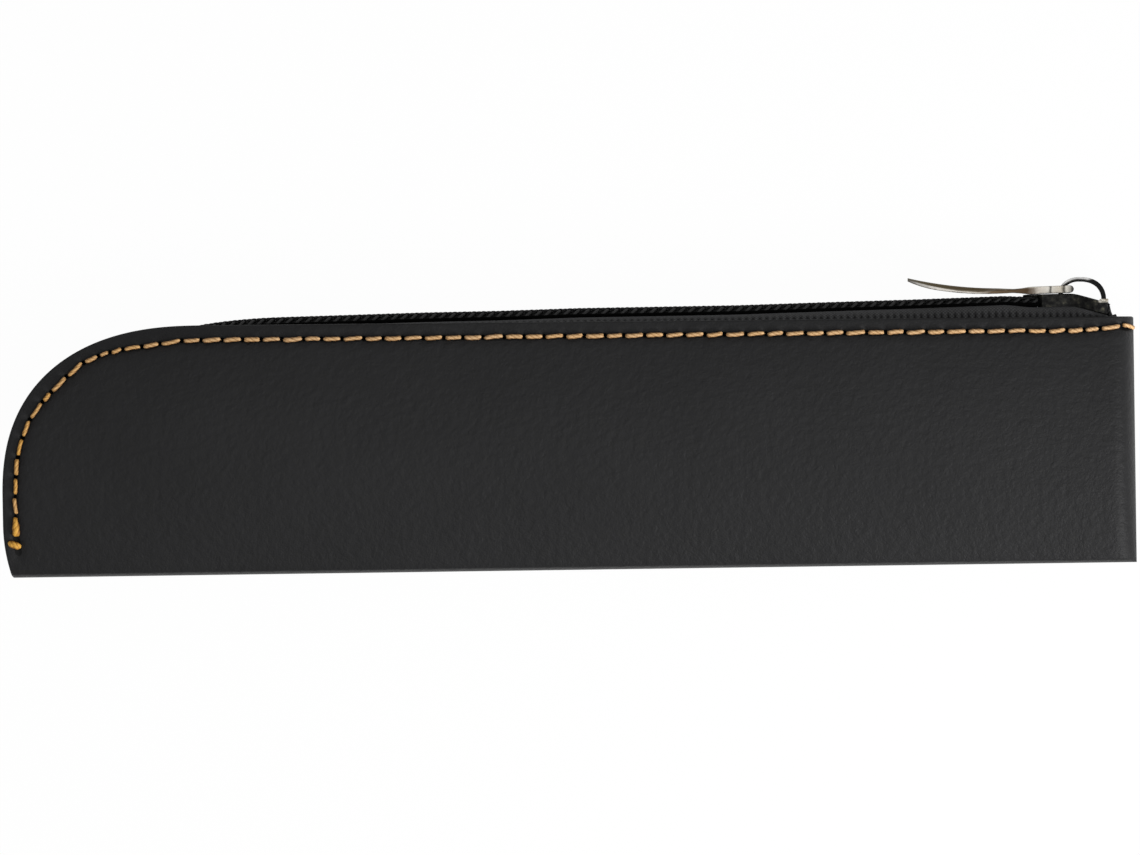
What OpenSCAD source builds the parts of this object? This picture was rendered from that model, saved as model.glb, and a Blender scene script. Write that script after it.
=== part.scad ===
// Slim zipped pen case: one leather piece folded along the bottom and sewn at the
// right-hand end, with a nylon coil zipper round the left corner and along the top.
// The case lies on its back panel: X runs along its length towards the sewn end,
// Y up towards the zipper and Z out of the front panel. All sizes are millimetres.

/* [Leather case] */
// Length from the zipped end to the sewn end
case_l = 200; // [190:1:215]
// Height of the leather at the sewn end
case_h = 43.4; // [43:0.1:46]
// Extra height of the leather at the rounded corner
case_rise = 0.7; // [0:0.1:1]
// Thickness over both panels where the case is fullest
case_t = 17; // [16:0.5:20]
// Thickness of the leather
leather_t = 1; // [0.9:0.1:1.1]
// Length of the rounded corner along the top edge
corner_w = 35.3; // [33:0.1:38]
// Height at which the rounded corner starts
corner_y = 13.7; // [13:0.1:15]
// Squareness of the rounded corner, where 2 is an ellipse
corner_p = 2.4; // [2.2:0.1:2.6]
// How far the left edge draws in at the fold
heel = 1.5; // [0:0.1:2]
// Radius of the bottom fold
fold_r = 1.5; // [1.3:0.1:2.4]
// Radius over which the panels round over into the sewn end
end_r = 2.2; // [2:0.1:4]

/* [Lining] */
// Thickness of the lining
lining_t = 0.25; // [0.2:0.05:0.3]
// How far the lining's edge lies inside the leather's edge
lining_inset = 2.4; // [2:0.1:3]
// Gap kept between one layer and the next
layer_gap = 0.13; // [0.12:0.01:0.15]

/* [Zipper] */
// Spacing of the coil's turns
coil_pitch = 1.69; // [1.65:0.01:1.8]
// Height of the coil
coil_h = 1.9; // [1.8:0.05:2]
// Distance from the zipper's middle to the back of the coil
coil_reach = 2.7; // [2.6:0.05:2.8]
// How far each coil's heads pass the zipper's middle
coil_hook = 0.45; // [0.4:0.05:0.5]
// Thickness of the coil's nylon filament
filament = 0.62; // [0.55:0.01:0.65]
// Thickness of the zipper tape
tape_t = 0.45; // [0.35:0.05:0.45]
// Width of tape hidden under the leather
tape_tuck = 8; // [7:0.5:8.5]
// Slope of the zipper against the fold, in degrees
zip_tilt = 0.75; // [0.6:0.05:0.9]
// Height of the zipper's middle where its straight run starts
zip_start_y = 44.35; // [44.2:0.05:44.6]

/* [Slider and pull] */
// Length of the slider
slider_l = 13; // [12.5:0.5:13.5]
// Thickness of the slider's plates
plate_t = 0.42; // [0.35:0.01:0.5]
// Length of the pull from the middle of its eye bar to its tip
pull_l = 28.6; // [26:0.2:32]
// Greatest width of the leaf
pull_w = 6.2; // [5.6:0.2:7]
// Thickness of the pull's eye
pull_t = 1.3; // [1.1:0.05:1.35]
// Thickness of the pull's leaf
leaf_t = 0.6; // [0.5:0.05:0.8]
// How far the leaf's sides bend down
leaf_dish = 0.55; // [0.3:0.05:0.7]

/* [Topstitching] */
// Spacing of the stitches
stitch_pitch = 3.5; // [3.2:0.1:4]
// Thickness of the sewing thread
thread_d = 0.8; // [0.6:0.05:0.85]
// Distance from the leather's edge to the stitches
stitch_inset = 2.1; // [1.9:0.1:2.3]

/* [Hidden] */

FRONT = 1;
BACK = -1;
half_t = case_t / 2;

// Layers, each as its depth below the outside of the leather
band_out = leather_t + layer_gap;
band_in = band_out + tape_t;
lining_out = band_in + layer_gap;
lining_in = lining_out + lining_t;

// How the half thickness grows from the fold, the ends and the mouth
heel_y = 9;
full_y = 27;
fold_share = 0.5;
mouth_share = 0.8;
end_share = 0.86;
end_run = 45;
left_share = 0.75;
left_run = 40;
back_press = 1.06;

// ---------- Shape of the panels ----------

function quarter(d, r) = sqrt(max(0, 1 - pow(1 - min(max(d, 0), r) / r, 2)));
function ease(d, run) = 1 - pow(1 - min(max(d, 0), run) / run, 2);

// Left edge of a layer whose edge lies this far inside the leather's
function corner_share(y, inset) =
    min(1, max(0, (y - corner_y) / (case_h - inset - corner_y)));
function left_x(y, inset = 0) = y > corner_y
    ? inset + (corner_w - inset)
        * (1 - pow(max(0, 1 - pow(corner_share(y, inset), corner_p)), 1 / corner_p))
    : inset + heel * pow(max(0, 1 - y / heel_y), 2);

// Distance of a layer from the middle plane
function half_at(x, y, depth) =
    (half_t - depth)
    * quarter(y - depth, fold_r)
    * (fold_share + (1 - fold_share) * ease(y - depth, full_y))
    * (1 - (1 - mouth_share) * pow(max(0, y - full_y) / (case_h - full_y), 2))
    * quarter(case_l - depth - x, end_r)
    * (end_share + (1 - end_share) * ease(case_l - depth - x, end_run))
    * (left_share + (1 - left_share) * ease(x - left_x(y), left_run));
function side_z(x, y, depth, side) = side > 0
    ? half_at(x, y, depth)
    : -min(back_press * half_at(x, y, depth), half_t - depth);

// The leather stands a little higher at the rounded corner than at the sewn end
function lifted(x, y) =
    y * (1 + case_rise / case_h * (case_l - x) / (case_l - corner_w));
function panel_point(x, y, depth, side) = [x, lifted(x, y), side_z(x, y, depth, side)];

// Heights of a layer's rows from the fold to the mouth, and columns from left to right
function fold_rows(depth) = [for (a = [0:15:90]) depth + fold_r * (1 - cos(a))];
function low_rows(depth) =
    [for (f = [1:3]) depth + fold_r + (corner_y - depth - fold_r) * f / 4];
function corner_rows(inset) = [for (a = [0:11.25:90])
    corner_y + (case_h - inset - corner_y) * pow(sin(a), 2 / corner_p)];
function row_heights(depth, inset) =
    concat(fold_rows(depth), low_rows(depth), corner_rows(inset));
columns = concat(
    [for (i = [0:5]) 0.2 * pow(i / 5, 1.5)],
    [for (u = [0.3:0.1:0.85]) u],
    [0.88, 0.93, 0.965],
    [for (a = [90:-15:0]) 1 - end_r * (1 - cos(a)) / case_l]);

// ---------- Solids made of two skins ----------

function quads(a, b, c, d) = [[a, b, c], [a, c, d]];
function flipped(faces, flip) = flip ? [for (f = faces) [f[0], f[2], f[1]]] : faces;

// A sheet between two grids of points with the same rows and columns
module sheet(outer, inner, flip = false) {
    rows = len(outer);
    cols = len(outer[0]);
    in0 = rows * cols;
    function id(r, c) = r * cols + c;
    skins = [for (r = [0:rows - 2], c = [0:cols - 2]) each concat(
        quads(id(r, c), id(r, c + 1), id(r + 1, c + 1), id(r + 1, c)),
        quads(in0 + id(r, c), in0 + id(r + 1, c), in0 + id(r + 1, c + 1),
              in0 + id(r, c + 1)))];
    ends = [for (c = [0:cols - 2]) each concat(
        quads(id(0, c + 1), id(0, c), in0 + id(0, c), in0 + id(0, c + 1)),
        quads(id(rows - 1, c), id(rows - 1, c + 1), in0 + id(rows - 1, c + 1),
              in0 + id(rows - 1, c)))];
    sides = [for (r = [0:rows - 2]) each concat(
        quads(id(r, 0), id(r + 1, 0), in0 + id(r + 1, 0), in0 + id(r, 0)),
        quads(id(r + 1, cols - 1), id(r, cols - 1), in0 + id(r, cols - 1),
              in0 + id(r + 1, cols - 1)))];
    polyhedron(
        points = concat([for (row = outer) each row], [for (row = inner) each row]),
        faces = flipped(concat(skins, ends, sides), flip), convexity = 8);
}

// A pocket: the front panel, the fold and the back panel as one skin, closed at the
// sewn end and open at the mouth
function pocket_skin(depth, inset) =
    let (heights = row_heights(depth, inset), top = len(heights) - 1)
    [for (k = [-top:top])
        let (y = heights[abs(k)], x0 = left_x(y, inset), x1 = case_l - depth)
        [for (u = columns)
            panel_point(x0 + (x1 - x0) * u, y, depth, k > 0 ? BACK : FRONT)]];

module pocket(outer_depth, inner_depth, inset) {
    outer = pocket_skin(outer_depth, inset);
    inner = pocket_skin(inner_depth, inset);
    rows = len(outer);
    cols = len(columns);
    in0 = rows * cols;
    // the two panels share their points along the sewn end
    function id(r, c) = (c == cols - 1 ? min(r, rows - 1 - r) : r) * cols + c;
    skins = [for (r = [0:rows - 2], c = [0:cols - 2]) each concat(
        quads(id(r, c), id(r, c + 1), id(r + 1, c + 1), id(r + 1, c)),
        quads(in0 + id(r, c), in0 + id(r + 1, c), in0 + id(r + 1, c + 1),
              in0 + id(r, c + 1)))];
    lips = [for (c = [0:cols - 2]) each concat(
        quads(id(0, c + 1), id(0, c), in0 + id(0, c), in0 + id(0, c + 1)),
        quads(id(rows - 1, c), id(rows - 1, c + 1), in0 + id(rows - 1, c + 1),
              in0 + id(rows - 1, c)))];
    left_lip = [for (r = [0:rows - 2]) each
        quads(id(r, 0), id(r + 1, 0), in0 + id(r + 1, 0), in0 + id(r, 0))];
    polyhedron(
        points = concat([for (row = outer) each row], [for (row = inner) each row]),
        faces = concat(skins, lips, left_lip), convexity = 8);
}

// ---------- Paths of the leather's edge and of the zipper ----------

function lengths(pts) = [for (i = 0, s = 0; i < len(pts);
    s = s + (i + 1 < len(pts) ? norm(pts[i + 1] - pts[i]) : 0), i = i + 1) s];
function track(pts) = let (s = lengths(pts)) [
    [for (i = [0:len(pts) - 1]) [s[i], pts[i].x]],
    [for (i = [0:len(pts) - 1]) [s[i], pts[i].y]],
    s[len(s) - 1]];
function at(path, s) = [lookup(s, path[0]), lookup(s, path[1])];
function turned(p, a) = [p.x * cos(a) - p.y * sin(a), p.x * sin(a) + p.y * cos(a)];
function heading(path, s) =
    let (d = at(path, min(s + 0.2, path[2])) - at(path, max(s - 0.2, 0)))
    atan2(d.y, d.x);
function bow(w, h, p, a) = [-w * pow(cos(a), 2 / p), h * pow(sin(a), 2 / p)];

// The leather's edge, moved in by an inset, from above the fold to the sewn end
edge_start_y = 4;
edge_end_x = case_l - 3.2;
function edge_points(inset) = concat(
    [for (y = [edge_start_y:0.75:corner_y - 0.1]) [left_x(y, inset), y]],
    [for (a = [0:1.5:90]) [corner_w, corner_y]
        + bow(corner_w - inset, case_h - inset - corner_y, corner_p, a)],
    [[edge_end_x, case_h - inset]]);

// The middle of the zipper, from its bottom end to the tape ends tucked in at the right
zip_start_x = 52;
zip_drop_y = 32.35;
zip_drop_x = 49.6;
zip_foot = 7;
slider_back = 10.65;
zip_run = case_l - zip_start_x - slider_back;
dive_r = 1.6;
dive_l = 5;
// The zipper dips inside the slider's nose before it dives into the case
nose_l = 6.95;
dip_from = -0.8;
dip_bend = 2;
dip_slope = 0.28;
function dip(x) = let (d = max(0, x - dip_from))
    -dip_slope * (d < dip_bend ? d * d / (2 * dip_bend) : d - dip_bend / 2);
dip_angle = atan(dip_slope);
nose_steps = 9;
nose_line = [for (x = concat([dip_from], [for (i = [0:nose_steps]) nose_l * i / nose_steps]))
    [x, dip(x)]];
function zip_points() = [for (p = concat(
    [[-zip_drop_x, -zip_drop_y - zip_foot]],
    [for (a = [0:1.5:90]) [0, -zip_drop_y] + bow(zip_drop_x, zip_drop_y, corner_p, a)],
    [for (p = nose_line) [zip_run, 0] + p],
    [for (f = [1 / 6:1 / 6:1]) let (a = dip_angle + (90 - dip_angle) * f)
        [zip_run + nose_l, dip(nose_l)]
            + dive_r * [sin(a) - sin(dip_angle), cos(a) - cos(dip_angle)]],
    [[zip_run + nose_l + dive_r * (1 - sin(dip_angle)),
      dip(nose_l) - dive_r * cos(dip_angle) - dive_l]]))
    [zip_start_x, zip_start_y] + turned(p, zip_tilt)];
zip = track(zip_points());
edge = track(edge_points(0));

// Lengths along the zipper
s_dive_arc = dive_r * (90 - dip_angle) * PI / 180;
s_dive = zip[2] - dive_l - s_dive_arc;
nose_s = lengths(nose_line);
s_slider = s_dive - nose_s[nose_steps + 1] + nose_s[1];
s_straight = s_slider - nose_s[1] - zip_run - dip_from;
s_first_turn = 4.4;
s_last_turn = s_dive - 0.6;

// The slider's neck pushes the two coils apart at its front
slider_half = slider_l / 2;
spread_full = 1.35;
spread_from = -0.5;
spread_to = 4.2;
function smooth(t) = let (u = min(1, max(0, t))) u * u * (3 - 2 * u);
function spread(from_slider) =
    spread_full * smooth((from_slider - spread_from) / (spread_to - spread_from));

// A place beside the zipper's middle: out of the mouth by n, sideways by z
function beside(s, n, z) =
    let (p = at(zip, s), a = heading(zip, s))
    [p.x - n * sin(a), p.y + n * cos(a), z];

// ---------- Leather, lining and interlining ----------

module leather_shell() {
    color("#2b2b2c") pocket(0, leather_t, 0);
}

module lining() {
    color("#1c1c1e") pocket(lining_out, lining_in, lining_inset);
}

// Stiffener between the leather and the lining, clear of the fold, the tape and the end
stiff_inset = tape_tuck + 1.4;
stiff_low = 5;
stiff_end = 12;
stiff_out = band_out + 0.1;
function stiff_grid(depth, side) =
    [for (f = [1:-0.125:0])
        let (y = stiff_low + (case_h - stiff_inset - stiff_low) * pow(f, 0.7),
             x0 = left_x(y, stiff_inset),
             x1 = case_l - stiff_end)
        [for (u = [0:0.0625:1]) panel_point(x0 + (x1 - x0) * u, y, depth, side)]];
module interlining(side) {
    color("#55524c")
        sheet(stiff_grid(stiff_out, side), stiff_grid(band_in, side), side == BACK);
}

// ---------- Zipper tapes ----------

tape_top = -coil_h / 2 - 0.05;
tape_edge = 0.55;
tape_flat = 2.9;
tape_crown = 3.7;
tape_bulge = 0.7;
tape_lip = 0.6;
flap_w = 3.8;
// Least of the coils' parting that the tape's crown follows at the slider's nose
crown_apart = 1;
// The tape lies flat where the slider holds it and bulges out of the mouth elsewhere
function bulge_at(s) =
    tape_bulge * smooth((abs(s - s_slider) - slider_half - 0.3) / 5);
function spread_at(s) = spread(s - s_slider);

// Length along the leather's edge that goes with a length along the zipper
s_edge_straight = edge[2] - (edge_end_x - zip_start_x);
function edge_s(s) = s < s_straight
    ? s * s_edge_straight / s_straight
    : s_edge_straight + (s - s_straight) * cos(zip_tilt);
function tucked(s, inset, depth, side) =
    let (e = edge_s(s), p = at(edge, e), a = heading(edge, e),
         x = p.x + inset * sin(a), y = p.y - inset * cos(a))
    panel_point(x, y, depth, side);
function tape_section(s, side, under) =
    let (drop = under ? tape_t : 0, depth = under ? band_in : band_out,
         apart = spread_at(s))
    s > s_dive - 0.1
    ? [for (f = [0:0.2:1])
        let (z = tape_edge + (flap_w - tape_edge) * f + min(apart, spread_full * (1 - f)))
        beside(s, tape_top - drop, side * z)]
    : [
        beside(s, tape_top - drop, side * (tape_edge + apart)),
        beside(s, tape_top - drop, side * (tape_flat + apart)),
        beside(s, tape_top + bulge_at(s) - drop,
               side * (tape_crown + min(apart, crown_apart) - (under ? 0.15 : 0))),
        tucked(s, tape_lip, depth, side),
        tucked(s, tape_tuck / 2, depth, side),
        tucked(s, tape_tuck, depth, side)];
tape_stations = concat(
    [for (f = [0:1 / 16:1]) 1 + (s_straight - 1) * f],
    [for (f = [1 / 7:1 / 7:0.99]) s_straight
        + (s_slider - slider_half - 6 - s_straight) * f],
    [for (d = [-6:1.5:0]) s_slider - slider_half + d],
    [for (d = [dip_from, 0, 1, 2, 3.5, 5]) s_slider + d],
    [s_dive - 0.2],
    [for (f = [0:0.25:1]) s_dive + s_dive_arc * f],
    [zip[2] - 0.5]);
function tape_grid(side, under) =
    let (sections = [for (s = tape_stations) tape_section(s, side, under)])
    [for (r = [0:5]) [for (section = sections) section[r]]];
module tape(side) {
    color("#262628")
        sheet(tape_grid(side, false), tape_grid(side, true), side == BACK);
}

// ---------- Coils, their cores and the stops ----------

coil_round = coil_h / 2;
coil_a = coil_round - coil_hook;
coil_b = coil_reach - coil_round;

module lobe(r) {
    translate([coil_a, 0]) circle(r, $fn = 32);
    translate([coil_b, 0]) circle(r, $fn = 32);
    translate([coil_a, -r]) square([coil_b - coil_a, 2 * r]);
}

module turn() {
    linear_extrude(filament, center = true) difference() {
        lobe(coil_round);
        lobe(coil_round - filament);
    }
}

// Stands something across the zipper at a length along it, on one side
module across_zip(s, side) {
    p = at(zip, s);
    translate([p.x, p.y, side * spread_at(s)]) rotate([0, 0, heading(zip, s)])
        rotate([0, -90, 0]) mirror([side == BACK ? 1 : 0, 0, 0]) children();
}

module coil(side) {
    first = s_first_turn + (side == BACK ? coil_pitch / 2 : 0);
    color("#161617")
        for (s = [first:coil_pitch:s_last_turn]) across_zip(s, side) turn();
}

core_w = 1.1;
core_h = 0.5;
core_z = (coil_a + coil_b) / 2;
core_sides = 8;
core_start = s_first_turn - 0.5;
core_stations = concat(
    [for (f = [0:1 / 20:1]) core_start + (s_straight - core_start) * f],
    [for (d = [spread_from:1.2:spread_to + 0.6]) s_slider + d],
    [s_last_turn + 0.4]);
module coil_core(side) {
    rings = [for (s = core_stations) [for (k = [0:core_sides - 1])
        let (a = 360 * (k + 0.5) / core_sides)
        beside(s, core_h / 2 * sin(a),
               side * (core_z + spread_at(s) + core_w / 2 * cos(a)))]];
    n = len(rings);
    last = (n - 1) * core_sides;
    walls = [for (r = [0:n - 2], k = [0:core_sides - 1])
        let (k1 = (k + 1) % core_sides, a = r * core_sides, b = a + core_sides)
        each quads(a + k, a + k1, b + k1, b + k)];
    caps = [for (k = [1:core_sides - 2]) each
        [[0, k + 1, k], [last, last + k, last + k + 1]]];
    color("#1d1d1f") polyhedron(
        points = [for (ring = rings) each ring],
        faces = flipped(concat(walls, caps), side == BACK), convexity = 4);
}

stop_l = 2.4;
module bottom_stop() {
    color("#3a3a3c") across_zip(s_first_turn - 1.9, FRONT)
        linear_extrude(stop_l, center = true) {
            for (m = [0, 1]) mirror([m, 0]) {
                translate([coil_b, 0]) circle(coil_round - 0.05, $fn = 32);
                translate([-0.01, 0.05 - coil_round])
                    square([coil_b + 0.01, coil_h - 0.1]);
            }
        }
}

top_stop_l = 1.3;
top_stop_w = 1.9;
top_stop_t = 0.6;
top_stop_lift = 0.05;
top_stop_s = s_dive + 1.5;
module top_stop(side) {
    color("#3a3a3c") across_zip(top_stop_s, side)
        linear_extrude(top_stop_l, center = true)
            translate([tape_edge, tape_top + top_stop_lift])
                square([top_stop_w, top_stop_t]);
}

// ---------- Topstitching ----------

seam_end = 1.6;
seam = track(concat(edge_points(stitch_inset),
    [[case_l - seam_end, case_h - stitch_inset]]));
thread_lift = thread_d / 2 + 0.03;
stitch_gap = 0.8;
stitch_l = stitch_pitch - stitch_gap;
seam_first = 2;
function stitch_end(s, side) =
    let (p = at(seam, s), q = panel_point(p.x, p.y, 0, side))
    q + [0, 0, side * thread_lift];
module stitch(a, b) {
    v = b - a;
    translate(a) rotate([0, acos(v.z / norm(v)), atan2(v.y, v.x)])
        cylinder(h = norm(v), d = thread_d, $fn = 16);
}
module topstitching(side) {
    color("#d9a45c")
        for (s = [seam_first:stitch_pitch:seam[2] - stitch_l])
            stitch(stitch_end(s, side), stitch_end(s + stitch_l, side));
}

// ---------- Slider ----------

slot_floor = tape_top - tape_t - 0.12;
slot_top = tape_top + 0.12;
roof = coil_h / 2 + 0.06;
slider_top = roof + plate_t;
slider_low = slot_floor - plate_t;
channel_w = coil_reach + 0.2;
wall_w = 0.6;
foot_wall = 0.15;
nose_thin = 0.2;
neck_from = 2.2;
neck_full = 4.6;
neck_half = 0.8;
arch_left = -2.1;
strip_t = 0.8;
strip_w = 2.2;
strip_gap = 0.08;
side_round = 1.2;
bevel = 0.25;
bevel_l = 0.6;

// Half width of the channel, or of the body round it, along the slider
function channel_side(extra) = [for (x = [-slider_half:1:slider_half])
    [x, channel_w + spread(x) + extra]];
function mirrored(side) = concat(side,
    [for (i = [len(side) - 1:-1:0]) [side[i].x, -side[i].y]]);
// Corners of the body's outline are cut round
function rounded_side(extra, r) = let (side = channel_side(extra))
    [for (p = side)
        let (d = slider_half - abs(p.x)) [p.x, p.y - (d < r ? r * (1 - quarter(d, r)) : 0)]];

// Along the zipper in x, out of it in y
module upright(from, to) {
    translate([0, from, 0]) rotate([-90, 0, 0]) linear_extrude(to - from) children();
}
module sideways(half) {
    linear_extrude(2 * half, center = true) children();
}

// Between two heights, following the dip of the nose
slider_xs = concat([-slider_half - 1], [for (x = [dip_from:0.8:slider_half - 0.1]) x],
    [slider_half, slider_half + 1]);
module dipped(low, high) {
    sideways(4 * channel_w) polygon(concat(
        [for (x = slider_xs) [x, low + dip(x)]],
        [for (i = [len(slider_xs) - 1:-1:0]) [slider_xs[i], high + dip(slider_xs[i])]]));
}

module slider_neck() {
    polygon([[neck_from, 0.15], [neck_full, neck_half], [slider_half - 0.4, neck_half],
             [slider_half - 0.4, -neck_half], [neck_full, -neck_half],
             [neck_from, -0.15]]);
}

// Side view of the body: its plates are bevelled at both ends and thin at the nose
function thinned(x) = nose_thin * max(0, x - dip_from) / (slider_half - dip_from);
module slider_profile() {
    inner_xs = [for (x = slider_xs) if (abs(x) < slider_half - 0.7) x];
    polygon(concat(
        [[-slider_half, slider_low + bevel], [-slider_half + bevel_l, slider_low]],
        [for (x = inner_xs) [x, slider_low + dip(x)]],
        [[slider_half, slider_low + bevel + dip(slider_half)]],
        [[slider_half, slider_top - thinned(slider_half) - 0.1 + dip(slider_half)]],
        [for (i = [len(inner_xs) - 1:-1:0]) let (x = inner_xs[i])
            [x, slider_top - thinned(x) + dip(x)]],
        [[-slider_half + bevel_l, slider_top], [-slider_half, slider_top - bevel]]));
}

lug_x = slider_half - 1;
lug_half = 0.75;
lug_top = slider_top + dip(lug_x) + 0.4;
foot_floor = slider_top - thinned(lug_x - strip_t) + dip(lug_x - strip_t);
body_low = slot_floor - 3;
module slider_shape() {
    difference() {
        intersection() {
            union() {
                upright(body_low, slider_top)
                    polygon(mirrored(rounded_side(foot_wall, side_round)));
                intersection() {
                    upright(body_low, slider_top)
                        polygon(mirrored(rounded_side(wall_w, side_round)));
                    dipped(slot_floor, slider_top);
                }
            }
            sideways(4 * channel_w) slider_profile();
        }
        difference() {
            union() {
                intersection() {
                    upright(body_low, slider_top) polygon(mirrored(concat(
                        [[-slider_half - 1, channel_w]], channel_side(0),
                        [[slider_half + 1, channel_w + spread_full]])));
                    dipped(slot_floor, roof);
                }
                dipped(slot_floor, slot_top);
            }
            upright(body_low, slider_top) slider_neck();
        }
        // slot for the lock prong
        upright(roof - 0.5, slider_top + 0.5) translate([arch_left, 0])
            square([strip_t + 2 * strip_gap, strip_w + 2 * strip_gap], center = true);
    }
    // lug that the bridge's foot is staked into
    difference() {
        intersection() {
            upright(body_low, lug_top) translate([lug_x, 0])
                square([2 * lug_half, strip_w + lug_half], center = true);
            dipped(roof + 0.1, slider_top + 2);
        }
        upright(foot_floor, lug_top + 1) translate([lug_x, 0])
            square([strip_t + strip_gap, strip_w + strip_gap], center = true);
    }
}

// The bridge is one bent strip: two quarter rounds that meet at its crown, the right
// one squarer than an ellipse
crown_x = 1;
crown_y = 3.9;
foot_y = foot_floor + 0.02;
foot_p = 2.4;
function arch_line(grow) = concat(
    [for (a = [180:-10:100]) [crown_x + (crown_x - arch_left + grow) * cos(a),
        slider_top + (crown_y - slider_top + grow) * sin(a)]],
    [for (a = [90:-10:0])
        let (p = bow(lug_x - crown_x + grow, crown_y - foot_y + grow, foot_p, a))
        [crown_x - p.x, foot_y + p.y]]);
module bridge_shape() {
    outer = arch_line(strip_t / 2);
    inner = arch_line(-strip_t / 2);
    sideways(strip_w / 2) polygon(concat(
        [[arch_left - strip_t / 2, roof - 0.05]], outer,
        [for (i = [len(inner) - 1:-1:0]) inner[i]],
        [[arch_left + strip_t / 2, roof - 0.05]]));
}

// ---------- Pull ----------

eye_y = slider_top + 0.14 + pull_t / 2;
eye_x = -0.45;
bar_half = pull_t / 2 + 0.02;
eye_l = 6.9;
eye_w = 2.9;
head_w = 4.6;
leaf_from = 7.6;
leaf_root = 7.2;
leaf_bend_x = 11;
leaf_rise = 0.0072;
leaf_dip = 0.1;
widest_x = 20;
tip_l = 5;
tip_half = 0.5;
dish_run = 6;

function leaf_lift(d) = -leaf_dip * smooth(d / leaf_bend_x)
    + leaf_rise * pow(max(0, d - leaf_bend_x), 2);
function thick_at(d) = pull_t + (leaf_t - pull_t) * smooth((d - eye_l) / 3);
function leaf_half(d) = max(tip_half, quarter(pull_l - d, tip_l) * (head_w / 2
    + (pull_w - head_w) / 2 * smooth((d - leaf_from) / (widest_x - leaf_from))));
function dish_at(d) = leaf_dish * smooth((d - leaf_from) / dish_run);

// The leaf: its sides bend down from its middle, more where it is wider
leaf_xs = concat([for (i = [0:12]) leaf_root + (pull_l - tip_l - leaf_root) * i / 12],
    [for (a = [15:15:90]) pull_l - tip_l * (1 - sin(a))]);
leaf_cols = 4;
function leaf_skin(face) = [for (k = [-leaf_cols:leaf_cols]) [for (d = leaf_xs)
    let (z = leaf_half(d) * k / leaf_cols, bend = dish_at(d) * pow(2 * z / pull_w, 2))
    [-d, leaf_lift(d) + dish_at(d) / 2 - bend + face * thick_at(d) / 2, z]]];

module pull_head() {
    // round bar that hangs on the bridge
    sideways(eye_w / 2 + 0.1) circle(d = pull_t, $fn = 32);
    difference() {
        intersection() {
            sideways(pull_w) union() {
                circle(d = pull_t, $fn = 32);
                polygon(concat(
                    [for (d = [0, eye_l / 2, eye_l, leaf_from])
                        [-d, leaf_lift(d) + thick_at(d) / 2]],
                    [for (d = [leaf_from, eye_l, eye_l / 2, 0])
                        [-d, leaf_lift(d) - thick_at(d) / 2]]));
            }
            upright(-3, 6) polygon(mirrored(
                [[-leaf_from, head_w / 2], [bar_half - 0.5, head_w / 2],
                 [bar_half, head_w / 2 - 0.5]]));
        }
        upright(-2, 3) translate([-eye_l, -eye_w / 2])
            square([eye_l + pull_t, eye_w]);
    }
}
module pull_shape() {
    pull_head();
    sheet(leaf_skin(1), leaf_skin(-1), true);
}

// ---------- The parts in place ----------

// The origin is on the back panel's flat face, under the middle of the case
module placed() {
    translate([-case_l / 2, -case_h / 2, half_t]) children();
}
module on_slider() {
    p = [zip_start_x, zip_start_y] + turned([zip_run, 0], zip_tilt);
    placed() translate([p.x, p.y, 0]) rotate([0, 0, zip_tilt]) children();
}

module front_interlining() { placed() interlining(FRONT); }
module back_interlining() { placed() interlining(BACK); }
module front_tape() { placed() tape(FRONT); }
module back_tape() { placed() tape(BACK); }
module front_coil() { placed() coil(FRONT); }
module back_coil() { placed() coil(BACK); }
module front_coil_core() { placed() coil_core(FRONT); }
module back_coil_core() { placed() coil_core(BACK); }
module front_top_stop() { placed() top_stop(FRONT); }
module back_top_stop() { placed() top_stop(BACK); }
module front_topstitching() { placed() topstitching(FRONT); }
module back_topstitching() { placed() topstitching(BACK); }
module slider_body() { on_slider() color("#3c3c3e") slider_shape(); }
module slider_bridge() { on_slider() color("#6f6f70") bridge_shape(); }
module pull_tab() {
    on_slider() color("#8d8780") translate([eye_x, eye_y, 0]) pull_shape();
}

placed() leather_shell();
placed() lining();
front_interlining();
back_interlining();
front_tape();
back_tape();
front_coil();
back_coil();
front_coil_core();
back_coil_core();
placed() bottom_stop();
front_top_stop();
back_top_stop();
front_topstitching();
back_topstitching();
slider_body();
slider_bridge();
pull_tab();
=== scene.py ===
"""The looks of a slim zipped pen case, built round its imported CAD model.

Lengths here are millimetres in the case's own frame, as in the CAD source: x runs from
the left end to the sewn end, y up from the fold, z out of the front panel from the
middle plane. rows() turns them into metres in the model's frame.
"""

import math

import bmesh
import bpy
import numpy as np
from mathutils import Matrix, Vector
from mathutils.kdtree import KDTree

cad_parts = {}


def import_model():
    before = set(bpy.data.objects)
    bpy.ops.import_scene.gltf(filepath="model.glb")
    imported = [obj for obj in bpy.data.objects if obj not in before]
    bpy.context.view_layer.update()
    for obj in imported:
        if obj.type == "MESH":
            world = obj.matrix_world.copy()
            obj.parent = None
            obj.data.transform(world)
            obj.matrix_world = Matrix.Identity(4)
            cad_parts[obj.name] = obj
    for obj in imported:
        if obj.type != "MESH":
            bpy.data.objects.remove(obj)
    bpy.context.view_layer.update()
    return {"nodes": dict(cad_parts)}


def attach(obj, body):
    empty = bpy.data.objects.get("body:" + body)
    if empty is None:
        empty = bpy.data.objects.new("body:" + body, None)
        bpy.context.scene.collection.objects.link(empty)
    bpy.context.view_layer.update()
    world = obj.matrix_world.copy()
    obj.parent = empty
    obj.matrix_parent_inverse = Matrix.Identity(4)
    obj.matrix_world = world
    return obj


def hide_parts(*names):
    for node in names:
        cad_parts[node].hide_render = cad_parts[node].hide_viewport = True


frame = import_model()

rng = np.random.default_rng(11)

# ---------- Sizes, as in the CAD source ----------

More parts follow.
